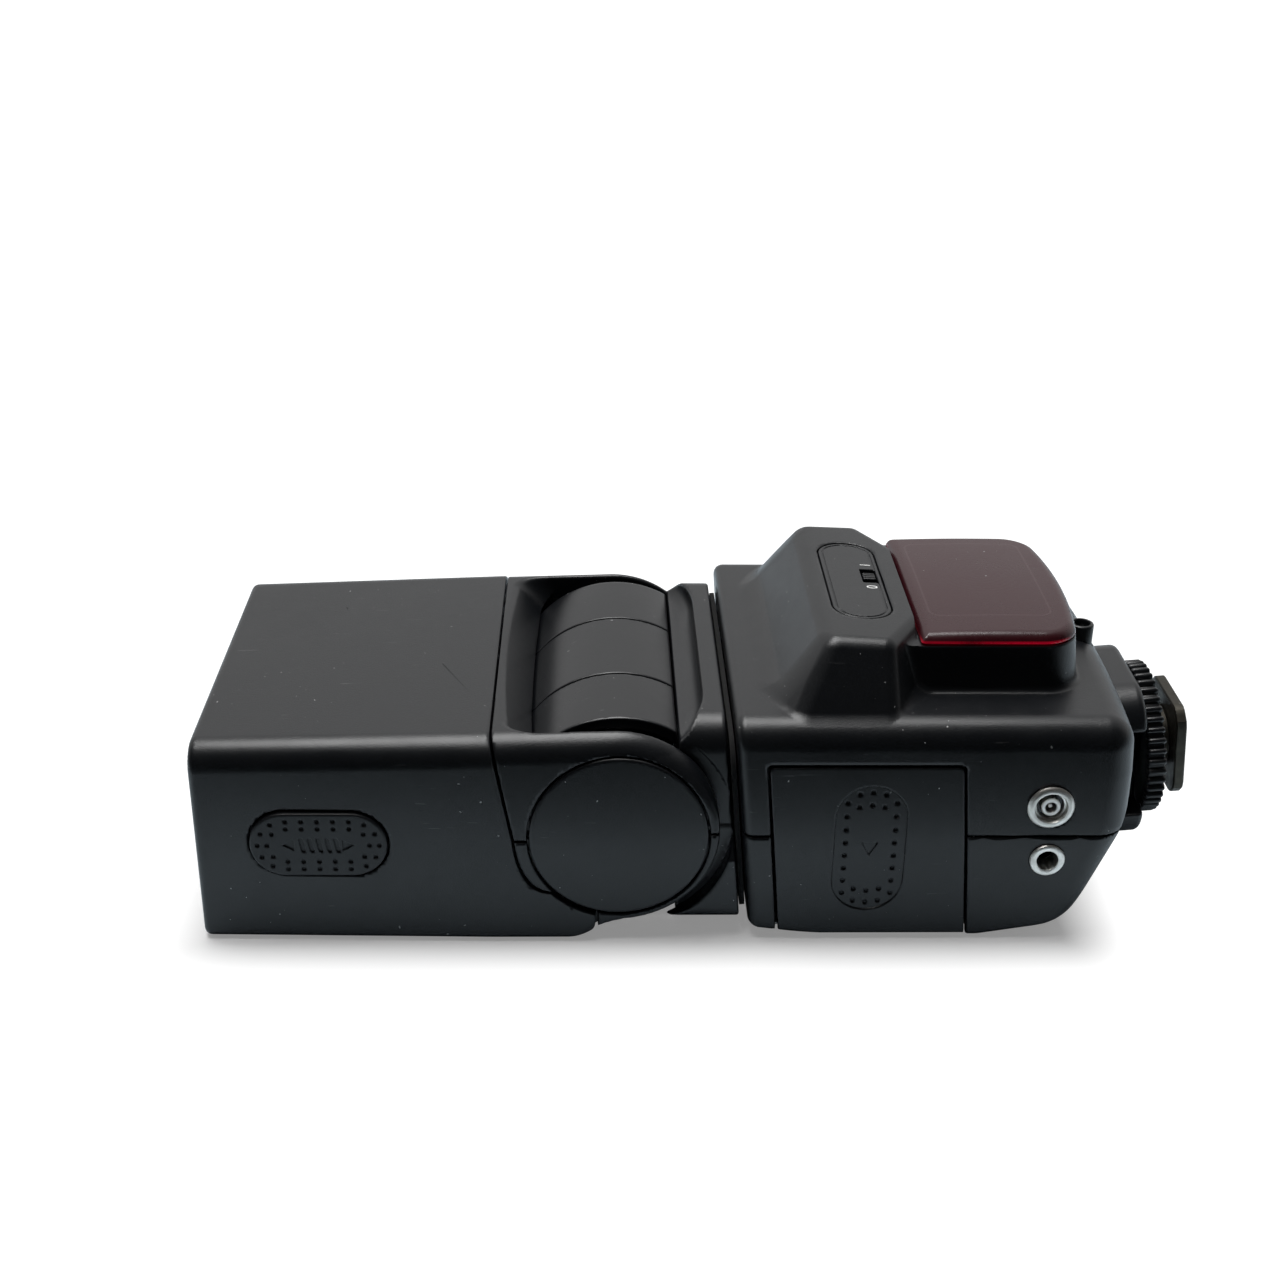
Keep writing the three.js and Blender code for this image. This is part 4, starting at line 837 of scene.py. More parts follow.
def window_form(x, y, z):
    """Cap of the red window, rounded where its top meets its sides."""
    crown = z - WINDOW_TOP + 0.0012 * (y ** 2 + (x - 146) ** 2)
    form = meet(window_plan(x, y), crown, 2.2)
    form = both(form, WINDOW_FOOT + GAP - z)
    return cut(form, both(window_plan(x, y, 2), z - WINDOW_TOP + 1.9), 0.4)


def foot_base_form(x, y, z):
    """Block that carries the lock wheel, scooped out on both sides."""
    along, up = lean(x, z, PLATE_X, PLATE_Z)
    end, start = -9.1, -24.7
    form = meet(plate_form(y, up, 15.0, 16.0, 8), along - end, 1.3)
    form = both(form, start - along)
    flange = both(np.abs(y) - 17.5, -6 - up, up - 10)
    flange = both(flange, start - 2.5 - along, along - start)
    scoop = both(tube(along - end - 2.5, np.abs(y) - 17, 9.5), np.abs(up) - 9)
    form = cut(either(form, flange), scoop, 0.5)
    return cut(form, tube(y, up, 6.3), 0.2)


def label_plate_form(x, y, z):
    """Label plate with a thin groove along its edge and the switch's slot."""
    u, w = to_label(x, z)
    form = meet(label_form(u, y), w + 0.12, 0.15)
    form = both(form, -0.8 - w)
    rim = np.abs(label_form(u, y) + 0.75) - 0.16
    form = cut(form, both(rim, -0.3 - w), 0.06)
    return cut(form, plate_form(u - SWITCH_U, y - SWITCH_V, 1.5, 3.1, 0.3), 0.12)


def switch_form(x, y, z):
    """Knob of the slide switch, with three grooves and a foot under the plate."""
    u, w = to_label(x, z)
    u, v = u - SWITCH_U, y - SWITCH_V
    top = meet(plate_form(u, v, 1.2, 1.4, 0.25), w + 0.1, 0.25)
    top = both(top, -2.6 - w)
    for i in (-1, 0, 1):
        top = cut(top, both(np.abs(v - 0.8 * i) - 0.14, -0.4 - w), 0.05)
    foot = both(plate_form(u + 0.1, v, 1.7, 2.4, 0.2), np.abs(w + 2.2) - 0.6)
    return either(top, foot)


# ------------------------------------------------------------------ shader node groups
class Tree:
    """Adds nodes to a tree and joins them up."""

    def __init__(self, tree):
        self.tree = tree
        self.column = 0

    def node(self, kind, inputs=None, **settings):
        made = self.tree.nodes.new(kind)
        made.location = (self.column * 180, 0)
        self.column += 1
        for key, value in settings.items():
            setattr(made, key, value)
        for key, value in (inputs or {}).items():
            self.feed(made.inputs[key], value)
        return made

    def feed(self, socket, value):
        """Joins a socket to another, or sets its value."""
        if isinstance(value, bpy.types.NodeSocket):
            self.tree.links.new(value, socket)
        elif hasattr(socket, "default_value"):
            socket.default_value = value

    def math(self, operation, a, b=0.0):
        return self.node("ShaderNodeMath", {0: a, 1: b}, operation=operation).outputs[0]

    def times(self, a, b):
        return self.math("MULTIPLY", a, b)

    def minus(self, a, b):
        return self.math("SUBTRACT", a, b)

    def off(self, value, centre):
        """Distance of a value from a centre."""
        return self.math("ABSOLUTE", self.minus(value, centre))

    def hypot(self, a, b):
        squares = self.math("ADD", self.math("POWER", a, 2.0), self.math("POWER", b, 2.0))
        return self.math("SQRT", squares)

    def noise(self, scale, vector, detail=2.0, roughness=0.5):
        return self.node("ShaderNodeTexNoise", {
            "Scale": scale, "Vector": vector, "Detail": detail, "Roughness": roughness,
        }).outputs["Fac"]

    def span(self, value, low, high, to_low=0.0, to_high=1.0):
        """Value brought from one range to another, and kept in it."""
        return self.node("ShaderNodeMapRange", {
            "Value": value, "From Min": low, "From Max": high, "To Min": to_low,
            "To Max": to_high}).outputs["Result"]

    def mix(self, factor, a, b):
        """Colour between two colours."""
        return self.node("ShaderNodeMix", {"Factor": factor, 6: a, 7: b},
                         data_type="RGBA").outputs[2]

    def split(self, vector):
        """X, y and z of a vector."""
        return self.node("ShaderNodeSeparateXYZ", {0: vector}).outputs

    def effect(self, name, vector, **inputs):
        """Outputs of one of the shared effects."""
        return self.node("ShaderNodeGroup", {"Vector": vector, **inputs},
                         node_tree=GROUPS[name]).outputs

    def bump(self, height, distance, strength=1.0):
        return self.node("ShaderNodeBump", {
            "Height": height, "Distance": distance, "Strength": strength}).outputs[0]


GROUPS = {}            # the shared effects by name, which make_finishes fills
INT, FLOAT, VECTOR = "NodeSocketInt", "NodeSocketFloat", "NodeSocketVector"


def shader_group(name, inputs, *outputs):
    """New shader node group with a vector, more inputs by name and default, and the named
    outputs, as (group, helper, inputs, outputs)."""
    tree = bpy.data.node_groups.new(name, "ShaderNodeTree")
    tree.interface.new_socket(name="Vector", in_out="INPUT", socket_type=VECTOR)
    for label, default in inputs.items():
        socket = tree.interface.new_socket(name=label, in_out="INPUT", socket_type=FLOAT)
        socket.default_value = default
    for label in outputs:
        tree.interface.new_socket(name=label, in_out="OUTPUT", socket_type=FLOAT)
    t = Tree(tree)
    return tree, t, t.node("NodeGroupInput").outputs, t.node("NodeGroupOutput").inputs


def spark_texture_group():
    """Fine grain that spark erosion leaves on moulded plastic: a height and a gloss change."""
    tree, t, given, out = shader_group("spark_texture", {"Scale": 2600.0}, "Height", "Gloss")
    fine = t.noise(given["Scale"], given["Vector"], 3.0, 0.65)
    broad = t.noise(t.times(given["Scale"], 0.035), given["Vector"], 3.0, 0.6)
    t.feed(out["Height"], fine)
    t.feed(out["Gloss"], t.math("ADD", t.times(fine, 0.5), t.times(broad, 0.5)))
    return tree


def dust_group():
    """Loose specks of dust and a few short hairs, in patches."""
    tree, t, given, out = shader_group("dust", {"Amount": 0.5}, "Mask")
    warp = t.node("ShaderNodeTexNoise", {
        "Scale": 900.0, "Detail": 2.0, "Vector": given["Vector"]}).outputs["Color"]
    reach = 0.0012
    warped = t.node("ShaderNodeVectorMath", {0: warp, 1: (reach,) * 3, 2: given["Vector"]},
                    operation="MULTIPLY_ADD").outputs[0]
    masks = []
    for scale, size in ((330.0, 0.075), (720.0, 0.085)):
        cells = t.node("ShaderNodeTexVoronoi", {"Scale": scale, "Vector": warped},
                       feature="F1").outputs
        red, green, _ = t.node("ShaderNodeSeparateColor", {0: cells["Color"]}).outputs
        chosen = t.math("LESS_THAN", red, t.times(given["Amount"], 0.5))
        speck = t.math("LESS_THAN", cells["Distance"], t.times(green, size))
        masks.append(t.times(chosen, speck))
    patch = t.span(t.noise(45.0, given["Vector"], 2.0), 0.42, 0.62)
    t.feed(out["Mask"], t.times(t.math("MAXIMUM", *masks), patch))
    return tree


def handling_group():
    """Faint smears and rubbed places left by handling."""
    tree, t, given, out = shader_group("handling", {"Scale": 60.0}, "Smear", "Scratch")
    smear = t.noise(given["Scale"], given["Vector"], 5.0, 0.62)
    t.feed(out["Smear"], t.span(smear, 0.35, 0.7))
    stretched = t.node("ShaderNodeMapping", {
        "Vector": given["Vector"], "Rotation": (0.3, 0.2, 0.6), "Scale": (0.35, 4.0, 4.0)})
    lines = t.noise(420.0, stretched.outputs[0], 2.0, 0.5)
    t.feed(out["Scratch"], t.times(t.span(lines, 0.70, 0.74), t.span(smear, 0.5, 0.6)))
    return tree


def drawn_metal_group():
    """Fine parallel lines of turned or drawn metal, and slight tarnish."""
    tree, t, given, out = shader_group("drawn_metal", {"Scale": 900.0}, "Height", "Tarnish")
    stretched = t.node("ShaderNodeMapping", {
        "Vector": given["Vector"], "Scale": (1.0, 0.08, 1.0)})
    t.feed(out["Height"], t.noise(given["Scale"], stretched.outputs[0], 3.0, 0.6))
    t.feed(out["Tarnish"], t.span(t.noise(240.0, given["Vector"], 4.0, 0.6), 0.4, 0.75))
    return tree


LINE_X, LINE_Y = (143.6, 9.0), (1.5, 14.5)      # middle and half length of the outline
LINE_CORNER = 2.2
RINGS_X, RINGS_Y = 144.5, 3.0
RING_PITCH = 1.1


def window_lines_group():
    """Outline moulded inside the red window and the rings of its lens: a line mask and a
    height."""
    tree, t, given, out = shader_group("window_lines", {}, "Line", "Rings")
    x, y, _ = t.split(given["Vector"])
    u, v = (t.minus(t.off(value, (middle + ORIGIN[axis]) * MM), half * MM)
            for axis, (value, (middle, half)) in enumerate(((x, LINE_X), (y, LINE_Y))))
    outside = t.hypot(t.math("MAXIMUM", u, 0.0), t.math("MAXIMUM", v, 0.0))
    inside = t.math("MINIMUM", t.math("MAXIMUM", u, v), 0.0)
    line = t.off(t.math("ADD", outside, inside), LINE_CORNER * MM)
    t.feed(out["Line"], t.span(line, 0.00008, 0.00026, 1.0, 0.0))
    radius = t.hypot(t.minus(x, (RINGS_X + ORIGIN[0]) * MM),
                     t.minus(y, (RINGS_Y + ORIGIN[1]) * MM))
    waves = t.math("SINE", t.times(radius, 2 * math.pi / (RING_PITCH * MM)))
    t.feed(out["Rings"], t.times(waves, t.span(radius, 0.0085, 0.0095, 1.0, 0.0)))
    return tree


def material(name):
    """New material, as (material, helper, inputs of its Principled BSDF, Object coordinates)."""
    made = bpy.data.materials.new(name)
    made.use_nodes = True
    made.node_tree.nodes.clear()
    t = Tree(made.node_tree)
    place = t.node("ShaderNodeTexCoord").outputs["Object"]
    surface = t.node("ShaderNodeBsdfPrincipled")
    t.node("ShaderNodeOutputMaterial", {"Surface": surface.outputs[0]})
    return made, t, surface.inputs, place


def grey(value):
    return (value, value, value, 1.0)


def tinted(colour, gain):
    return tuple(min(c * gain, 1.0) for c in colour[:3]) + (1.0,)


def moulded(name, colour, rough, grain, depth, dust, smear):
    """Moulded plastic with spark texture, faint smears, fine scratches and loose dust."""
    made, t, surface, place = material(name)
    spark = t.effect("spark", place, Scale=grain)
    hand = t.effect("handling", place)
    specks = t.effect("dust", place, Amount=dust)["Mask"]
    base = t.mix(spark["Gloss"], tinted(colour, 0.8), tinted(colour, 1.25))
    base = t.mix(t.times(hand["Smear"], smear), base, tinted(colour, 1.5))
    base = t.mix(t.times(hand["Scratch"], 0.25), base, grey(0.16))
    t.feed(surface["Base Color"], t.mix(specks, base, grey(0.5)))
    gloss = t.span(spark["Gloss"], 0.3, 0.7, rough - 0.05, rough + 0.06)
    gloss = t.minus(gloss, t.times(hand["Smear"], 0.06))
    t.feed(surface["Roughness"], t.math("MAXIMUM", gloss, t.times(specks, 0.9)))
    t.feed(surface["Normal"], t.bump(spark["Height"], depth))
    return made


def metal(name, colour, rough, lines=900.0, depth=0.000006, tarnish=(0.2, 0.18, 0.15)):
    """Plated or drawn metal with fine lines and a little tarnish."""
    made, t, surface, place = material(name)
    drawn = t.effect("metal", place, Scale=lines)
    specks = t.effect("dust", place, Amount=0.3)["Mask"]
    base = t.mix(t.times(drawn["Tarnish"], 0.35), (*colour, 1), (*tarnish, 1))
    t.feed(surface["Base Color"], t.mix(specks, base, grey(0.6)))
    t.feed(surface["Roughness"], t.span(drawn["Tarnish"], 0, 1, rough, rough + 0.2))
    t.feed(surface["Metallic"], t.minus(1.0, specks))
    t.feed(surface["Normal"], t.bump(drawn["Height"], depth))
    return made


PLASTIC_IOR = 1.49


def clear_plastic(name, colour, rough, transmission, dust):
    """Clear or tinted plastic."""
    made, t, surface, place = material(name)
    spark = t.effect("spark", place, Scale=3200.0)
    specks = t.effect("dust", place, Amount=dust)["Mask"]
    t.feed(surface["Base Color"], t.mix(specks, (*colour, 1), grey(0.6)))
    t.feed(surface["Transmission Weight"], transmission)
    t.feed(surface["IOR"], PLASTIC_IOR)
    t.feed(surface["Roughness"], t.span(spark["Gloss"], 0.3, 0.7, rough - 0.04, rough + 0.06))
    t.feed(surface["Normal"], t.bump(spark["Height"], 0.000008))
    return made


def red_clear(name, colour):
    """Dark red plastic with a painted red glow along the near side of its lower edge."""
    made, t, surface, place = material(name)
    spark = t.effect("spark", place, Scale=1500.0)
    specks = t.effect("dust", place, Amount=0.6)["Mask"]
    lines = t.effect("window", place)
    _, across, height = t.split(place)
    foot = (WINDOW_FOOT + GAP) * MM
    # Painted glow: near the window's foot, strongest on the near side and in patches, the colour
    # turns bright red and emits light.
    patch = t.span(t.noise(160.0, place, 2.0), 0.35, 0.6, 0.35, 1.0)
    painted_glow = t.times(t.span(height, foot + 0.0002, foot + 0.00055, 1.0, 0.0), patch)
    painted_glow = t.times(painted_glow, t.span(across, -0.0222, -0.0198, 1.0, 0.2))
    base = t.mix(spark["Gloss"], tinted(colour, 0.85), tinted(colour, 1.15))
    base = t.mix(painted_glow, base, (0.62, 0.002, 0.03, 1))
    base = t.mix(t.times(lines["Line"], 0.5), base, (0.075, 0.035, 0.04, 1))
    t.feed(surface["Base Color"], t.mix(specks, base, grey(0.5)))
    # The painted glow also emits light, though the window is no lamp.
    t.feed(surface["Emission Color"], (0.75, 0.0, 0.03, 1))
    t.feed(surface["Emission Strength"], t.times(painted_glow, 0.22))
    t.feed(surface["Transmission Weight"], 0.2)
    t.feed(surface["IOR"], PLASTIC_IOR)
    t.feed(surface["Roughness"], t.span(spark["Gloss"], 0.3, 0.7, 0.24, 0.36))
    grain = t.math("ADD", spark["Height"], t.times(lines["Rings"], 0.12))
    t.feed(surface["Normal"], t.bump(grain, 0.00002))
    return made


def board_green(name, colour):
    """Solder mask with the tracks faintly raised under it."""
    made, t, surface, place = material(name)
    cells = t.node("ShaderNodeTexVoronoi", {"Scale": 260.0, "Vector": place},
                   feature="F1", distance="MANHATTAN")
    tracks = t.span(cells.outputs["Distance"], 0.32, 0.36)
    t.feed(surface["Base Color"], t.mix(tracks, (*colour, 1), tinted(colour, 1.7)))
    t.feed(surface["Roughness"], t.span(tracks, 0, 1, 0.3, 0.42))
    t.feed(surface["Normal"], t.bump(tracks, 0.00004, 0.6))
    return made


def make_finishes(colours):
    """All the finishes of the flash, by name."""
    GROUPS.update(spark=spark_texture_group(), dust=dust_group(), handling=handling_group(),
                  metal=drawn_metal_group(), window=window_lines_group())
    c = colours
    can_blue, cell_blue = (0.03, 0.035, 0.05), (0.05, 0.12, 0.3)
    return {
        # name, colour, roughness, grains to a metre, their depth in metres, dust, smears
        "shell": moulded("shell_black", c.shell, 0.36, 3300.0, 0.00003, 0.8, 0.22),
        "fine": moulded("fine_black", c.trim, 0.34, 3300.0, 0.00001, 0.5, 0.12),
        "pad": moulded("pad_black", c.pad, 0.46, 2600.0, 0.00002, 0.3, 0.1),
        # Painted shade: a near-black matte finish for the friction plate, so that it reads as the
        # dark of the gap between the neck and the body.
        "gap_shade": moulded("gap_shade_black", (0.002, 0.002, 0.002), 0.9, 900.0, 0.00004, 0.0, 0.0),
        "gloss": moulded("gloss_black", c.trim, 0.2, 3300.0, 0.000004, 0.3, 0.1),
        "red": red_clear("red_clear", c.window),
        "lens": clear_plastic("lens_clear", (0.9, 0.92, 0.93), 0.08, 0.9, 0.2),
        "card": moulded("card_white", (0.8, 0.8, 0.78), 0.5, 2600.0, 0.00001, 0.0, 0.02),
        "ink": moulded("ink_white", (0.75, 0.75, 0.74), 0.5, 3000.0, 0.000004, 0.0, 0.0),
        "reflector": metal("reflector_metal", (0.86, 0.87, 0.88), 0.12),
        "glass": clear_plastic("tube_glass", (0.95, 0.96, 0.97), 0.03, 0.95, 0.0),
        "steel": metal("steel", (0.56, 0.57, 0.58), 0.3),
        "nickel": metal("nickel", c.nickel, 0.34),
        "foot": metal("foot_bronze", c.foot, 0.42, 700.0, 0.00001, (0.02, 0.019, 0.017)),
        "brass": metal("brass", (0.72, 0.55, 0.26), 0.25),
        "board": board_green("board_green", (0.02, 0.12, 0.06)),
        "cell": moulded("cell_cover", cell_blue, 0.3, 3000.0, 0.000004, 0.0, 0.05),
        "can": moulded("capacitor_can", can_blue, 0.3, 3000.0, 0.000004, 0.0, 0.05),
        "frame": moulded("frame_grey", (0.12, 0.125, 0.13), 0.5, 2600.0, 0.00001, 0.1, 0.05),
    }


# ------------------------------------------------------------------ sizes and colours to change
def length(name, text, value):
    return bpy.props.FloatProperty(name=name, description=text, default=value, min=0.0)


def colour(name, text, value):
    return bpy.props.FloatVectorProperty(
        name=name, description=text, default=value, subtype="COLOR", size=3, min=0.0, max=1.0)


class FlashSizes(bpy.types.PropertyGroup):
    """Sizes in millimetres that change how the mouldings look."""
    long_edge: length("Long edges", "Radius of the long edges on the window's side, in mm", 5.0)
    under_edge: length("Under edges", "Radius of the edges that lie on the table, in mm", 2.2)
    seam_edge: length("Seam edges", "Radius of the edges along the split lines, in mm", 0.3)
    mesh_step: length("Mesh step", "Size of the mesh on curved mouldings, in mm", 0.5)
    detail_step: length("Detail step", "Size of the mesh on small detailed pieces, in mm", 0.2)


class FlashColours(bpy.types.PropertyGroup):
    """Base colours of the finishes."""
    shell: colour("Shell", "Textured black of the mouldings", (0.0036, 0.0044, 0.0058))
    trim: colour("Trim", "Smooth black of the small fittings", (0.0032, 0.0038, 0.0050))
    pad: colour("Pads", "Black of the buttons", (0.0046, 0.0055, 0.0070))
    window: colour("Window", "Dark red of the sensor window", (0.034, 0.0025, 0.0055))
    nickel: colour("Nickel", "Plating of the sockets", (0.93, 0.90, 0.85))
    foot: colour("Foot", "Bronze grey of the shoe foot", (0.060, 0.056, 0.047))


class FlashStudio(bpy.types.PropertyGroup):
    """The plain studio round the flash."""
    key: bpy.props.FloatProperty(
        name="Overhead light", description="Power of the soft lamp above", default=5.0,
        min=0.0, unit="POWER")
    back: bpy.props.FloatProperty(
        name="Light behind", description="Strength of the surroundings behind the flash",
        default=0.72, min=0.0)
    front: bpy.props.FloatProperty(
        name="Light in front", description="Strength of the surroundings in front of it",
        default=0.03, min=0.0)


# ------------------------------------------------------------------ copies by Geometry Nodes
def repeated(source, name, finish, settings, lay_out):
    """Copies an object's mesh with Geometry Nodes and keeps the result as its plain mesh.
    settings holds the tree's inputs, as name: (kind, value). lay_out makes the points to copy
    to, and the turn of each copy, from a helper and those inputs."""
    tree = bpy.data.node_groups.new(name, "GeometryNodeTree")
    geometry = {"name": "Geometry", "socket_type": "NodeSocketGeometry"}
    tree.interface.new_socket(in_out="INPUT", **geometry)
    keys = {label: tree.interface.new_socket(name=label, in_out="INPUT",
                                             socket_type=kind).identifier
            for label, (kind, _) in settings.items()}
    tree.interface.new_socket(in_out="OUTPUT", **geometry)
    t = Tree(tree)
    given = t.node("NodeGroupInput").outputs
    copies = t.node("GeometryNodeInstanceOnPoints",
                    {"Instance": given["Geometry"], **lay_out(t, given)})
    whole = t.node("GeometryNodeRealizeInstances", {0: copies.outputs[0]})
    coloured = t.node("GeometryNodeSetMaterial", {
        "Geometry": whole.outputs[0], "Material": finish})
    t.node("NodeGroupOutput", {0: coloured.outputs[0]})
    modifier = source.modifiers.new("Repeat", "NODES")
    modifier.node_group = tree
    for label, (_, value) in settings.items():
        modifier[keys[label]] = value
    graph = bpy.context.evaluated_depsgraph_get()
    mesh = bpy.data.meshes.new_from_object(source.evaluated_get(graph))
    source.modifiers.remove(modifier)
    source.data = mesh


def in_a_row(t, given):
    """Points at equal steps along a line."""
    return {"Points": t.node("GeometryNodeMeshLine", {
        "Count": given["Count"], "Offset": given["Offset"]}, mode="OFFSET").outputs[0]}


def in_a_circle(t, given):
    """Points on a circle about z, each turned to face outwards."""
    circle = t.node("GeometryNodeMeshCircle", {
        "Vertices": given["Count"], "Radius": given["Radius"]})
    index = t.node("GeometryNodeInputIndex").outputs[0]
    angle = t.math("DIVIDE", t.times(index, 2 * math.pi), given["Count"])
    turn = t.node("ShaderNodeCombineXYZ", {"Z": angle})
    return {"Points": circle.outputs[0], "Rotation": turn.outputs[0]}


LENS_RIDGES = 26
CAP_STEP, SWITCH_STEP = 0.4, 0.15       # mesh steps of pieces that need their own


class FlashOperator:
    """Shared by the operators of the flash."""
    bl_options = {"REGISTER", "UNDO"}

    @property
    def sizes(self):
        return bpy.context.scene.flash_sizes


# ------------------------------------------------------------------ head
class FLASH_OT_head_sleeve(FlashOperator, bpy.types.Operator):
    """Sleeve of the head with its two lock buttons"""
    bl_idname = "flash.head_sleeve"
    bl_label = "Head sleeve and lock buttons"

    def execute(self, context):
        sizes = self.sizes
        moulding("head_sleeve", "sleeve_moulding", sleeve_form(sizes), sizes.mesh_step,
                 "head", "shell", "shell_black")
        for end, side in (("near", -1), ("far", 1)):
            moulding(f"lock_button_{end}", f"lock_pad_{end}", lock_pad_form(side),
                     sizes.detail_step, f"{end}_button", "pad", "pad_black")
        return {"FINISHED"}


class FLASH_OT_head_optics(FlashOperator, bpy.types.Operator):
    """Lens, its frame, the sliding panels and the works behind them"""
    bl_idname = "flash.head_optics"
    bl_label = "Lens and flash tube"

    def execute(self, context):
        low, high = local("front_lens")
        pitch = (high[2] - low[2]) / LENS_RIDGES
        profile = [(0.55, 0.1 * pitch), (0.55, 0.25 * pitch), (0.1, 0.9 * pitch),
                   (0.1, pitch), (1.4, pitch), (1.4, 0.0)]
        work = bmesh.new()
        near, far = ([work.verts.new((low[0] + x, y, low[2] + z)) for x, z in profile]
                     for y in (low[1], high[1]))
        work.faces.new(near)
        work.faces.new(far[::-1])
        bridge(work, near, far)
        ridges = shaded("lens_ridges", work)
        repeated(ridges, "lens_rows", FINISH["lens"],
                 {"Count": (INT, LENS_RIDGES), "Offset": (VECTOR, (0, 0, pitch * MM))},
                 in_a_row)
        fitted(ridges, "head", None, "lens_clear", "front_lens")
        sheet = block("lens_sheet", (low[0] + 1.35, low[1], low[2]), high, 0.15)
        fitted(sheet, "head", "lens", "lens_clear")
        finish_nodes(lens_frame="fine", wide_panel="lens", bounce_card="card",
                     reflector="reflector", flash_tube="glass", zoom_carriage="frame",
                     zoom_screw="steel", zoom_motor="steel")
        return {"FINISHED"}


class FLASH_OT_rear_shells(FlashOperator, bpy.types.Operator):
    """Rear shells of the head with the hinge arms"""
    bl_idname = "flash.rear_shells"
    bl_label = "Rear shells"

    def execute(self, context):
        for half in ("front", "back"):
            moulding(f"rear_shell_{half}", f"rear_moulding_{half}",
                     rear_form(self.sizes, half == "front"), self.sizes.mesh_step,
                     "head", "shell", "shell_black", 2)
        return {"FINISHED"}


class FLASH_OT_hinge(FlashOperator, bpy.types.Operator):
    """Round caps on the arms, the three drums and their shaft"""
    bl_idname = "flash.hinge"
    bl_label = "Hinge caps and drums"

    def execute(self, context):
        for end, side in (("near", -1), ("far", 1)):
            moulding(f"hinge_cap_{end}", f"arm_cap_{end}", cap_form(side), CAP_STEP,
                     "head", "shell", "shell_black")
        for ring in ("near", "middle", "far"):
            low, high = local(f"drum_{ring}")
            form = drum_form(low[1], high[1], ring != "far")
            moulding(f"drum_{ring}", f"barrel_{ring}", form, self.sizes.mesh_step,
                     "neck", "fine", "shell_black")
        finish_nodes(hinge_shaft="steel")
        return {"FINISHED"}


# ------------------------------------------------------------------ neck and body
class FLASH_OT_neck(FlashOperator, bpy.types.Operator):
    """Collar between the drum and the body, with the swivel behind it"""
    bl_idname = "flash.neck"
    bl_label = "Neck"

    def execute(self, context):
        moulding("neck_collar", "neck_moulding", collar_form, self.sizes.mesh_step,
                 "neck", "shell", "shell_black")
        # The friction plate takes the near-black finish, painted shade in the gap behind the
        # neck.
        moulding("swivel_disc", "friction_plate", disc_form, CAP_STEP,
                 "neck", "gap_shade", "trim_black", np.array((5.0, 20.0, 6.0)))
        finish_nodes(swivel_shaft="steel")
        return {"FINISHED"}


class FLASH_OT_body_shells(FlashOperator, bpy.types.Operator):
    """Front and back shells of the body and the screws that hold them"""
    bl_idname = "flash.body_shells"
    bl_label = "Body shells"

    def execute(self, context):
        for half in ("front", "back"):
            moulding(f"body_{half}_shell", f"body_{half}_moulding",
                     shell_form(self.sizes, half == "front"), self.sizes.mesh_step,
                     "case", "shell", "shell_black", 1)
        finish_nodes(case_screw_1="steel", case_screw_2="steel")
        return {"FINISHED"}


class FLASH_OT_battery_door(FlashOperator, bpy.types.Operator):
    """Sliding battery door with its finger pad, and its hinge"""
    bl_idname = "flash.battery_door"
    bl_label = "Battery door"

    def execute(self, context):
        moulding("battery_door", "door_moulding", door_form(self.sizes),
                 self.sizes.mesh_step / 2, "door", "shell", "shell_black", 0.5)
        finish_nodes(door_hinge_plate="steel", door_hinge_pin="steel")
        return {"FINISHED"}


class FLASH_OT_red_window(FlashOperator, bpy.types.Operator):
    """Red window over the slave sensor"""
    bl_idname = "flash.red_window"
    bl_label = "Red window"

    def execute(self, context):
        moulding("red_window", "window_cap", window_form, CAP_STEP, "case", "red", "red_clear")
        finish_nodes(sensor_board="board")
        return {"FINISHED"}


def lettering(name, words, size, matrix, depth):
    """Plain raised figures, in millimetres from the lens end."""
    curve = bpy.data.curves.new(name, "FONT")
    curve.body = words
    curve.size = size
    curve.extrude = depth
    curve.align_x, curve.align_y = "CENTER", "CENTER"
    source = linked(name, curve)
    graph = bpy.context.evaluated_depsgraph_get()
    mesh = bpy.data.meshes.new_from_object(source.evaluated_get(graph))
    bpy.data.objects.remove(source)
    to_row = Matrix.Diagonal((MM, MM, MM, 1)) @ Matrix.Translation(Vector(ORIGIN))
    mesh.transform(to_row @ matrix)
    fitted(linked(name, mesh), "case", "ink", "card_white")


class FLASH_OT_label(FlashOperator, bpy.types.Operator):
    """Blank label plate with its slide switch"""
    bl_idname = "flash.label"
    bl_label = "Label plate and slide switch"

    def execute(self, context):
        moulding("label_plate", "label_face", label_plate_form, self.sizes.detail_step,
                 "case", "shell", "trim_black", 0.2)
        moulding("slide_switch_knob", "switch_knob", switch_form, SWITCH_STEP,
                 "mode_knob", "fine", "trim_black", 0.2)
        slope = Matrix.Translation((LABEL_X, 0, LABEL_Z)) @ Matrix.Rotation(LABEL_SLOPE, 4, "Y")
        turn = Matrix.Rotation(math.pi / 2, 4, "Z")
        for words, v in (("0", SWITCH_V - 5.2), ("1", SWITCH_V + 5.0)):
            place = slope @ Matrix.Translation((SWITCH_U, v, -0.11)) @ turn
            lettering(f"switch_mark_{words}", words, 2.9, place, 0.03)
        return {"FINISHED"}


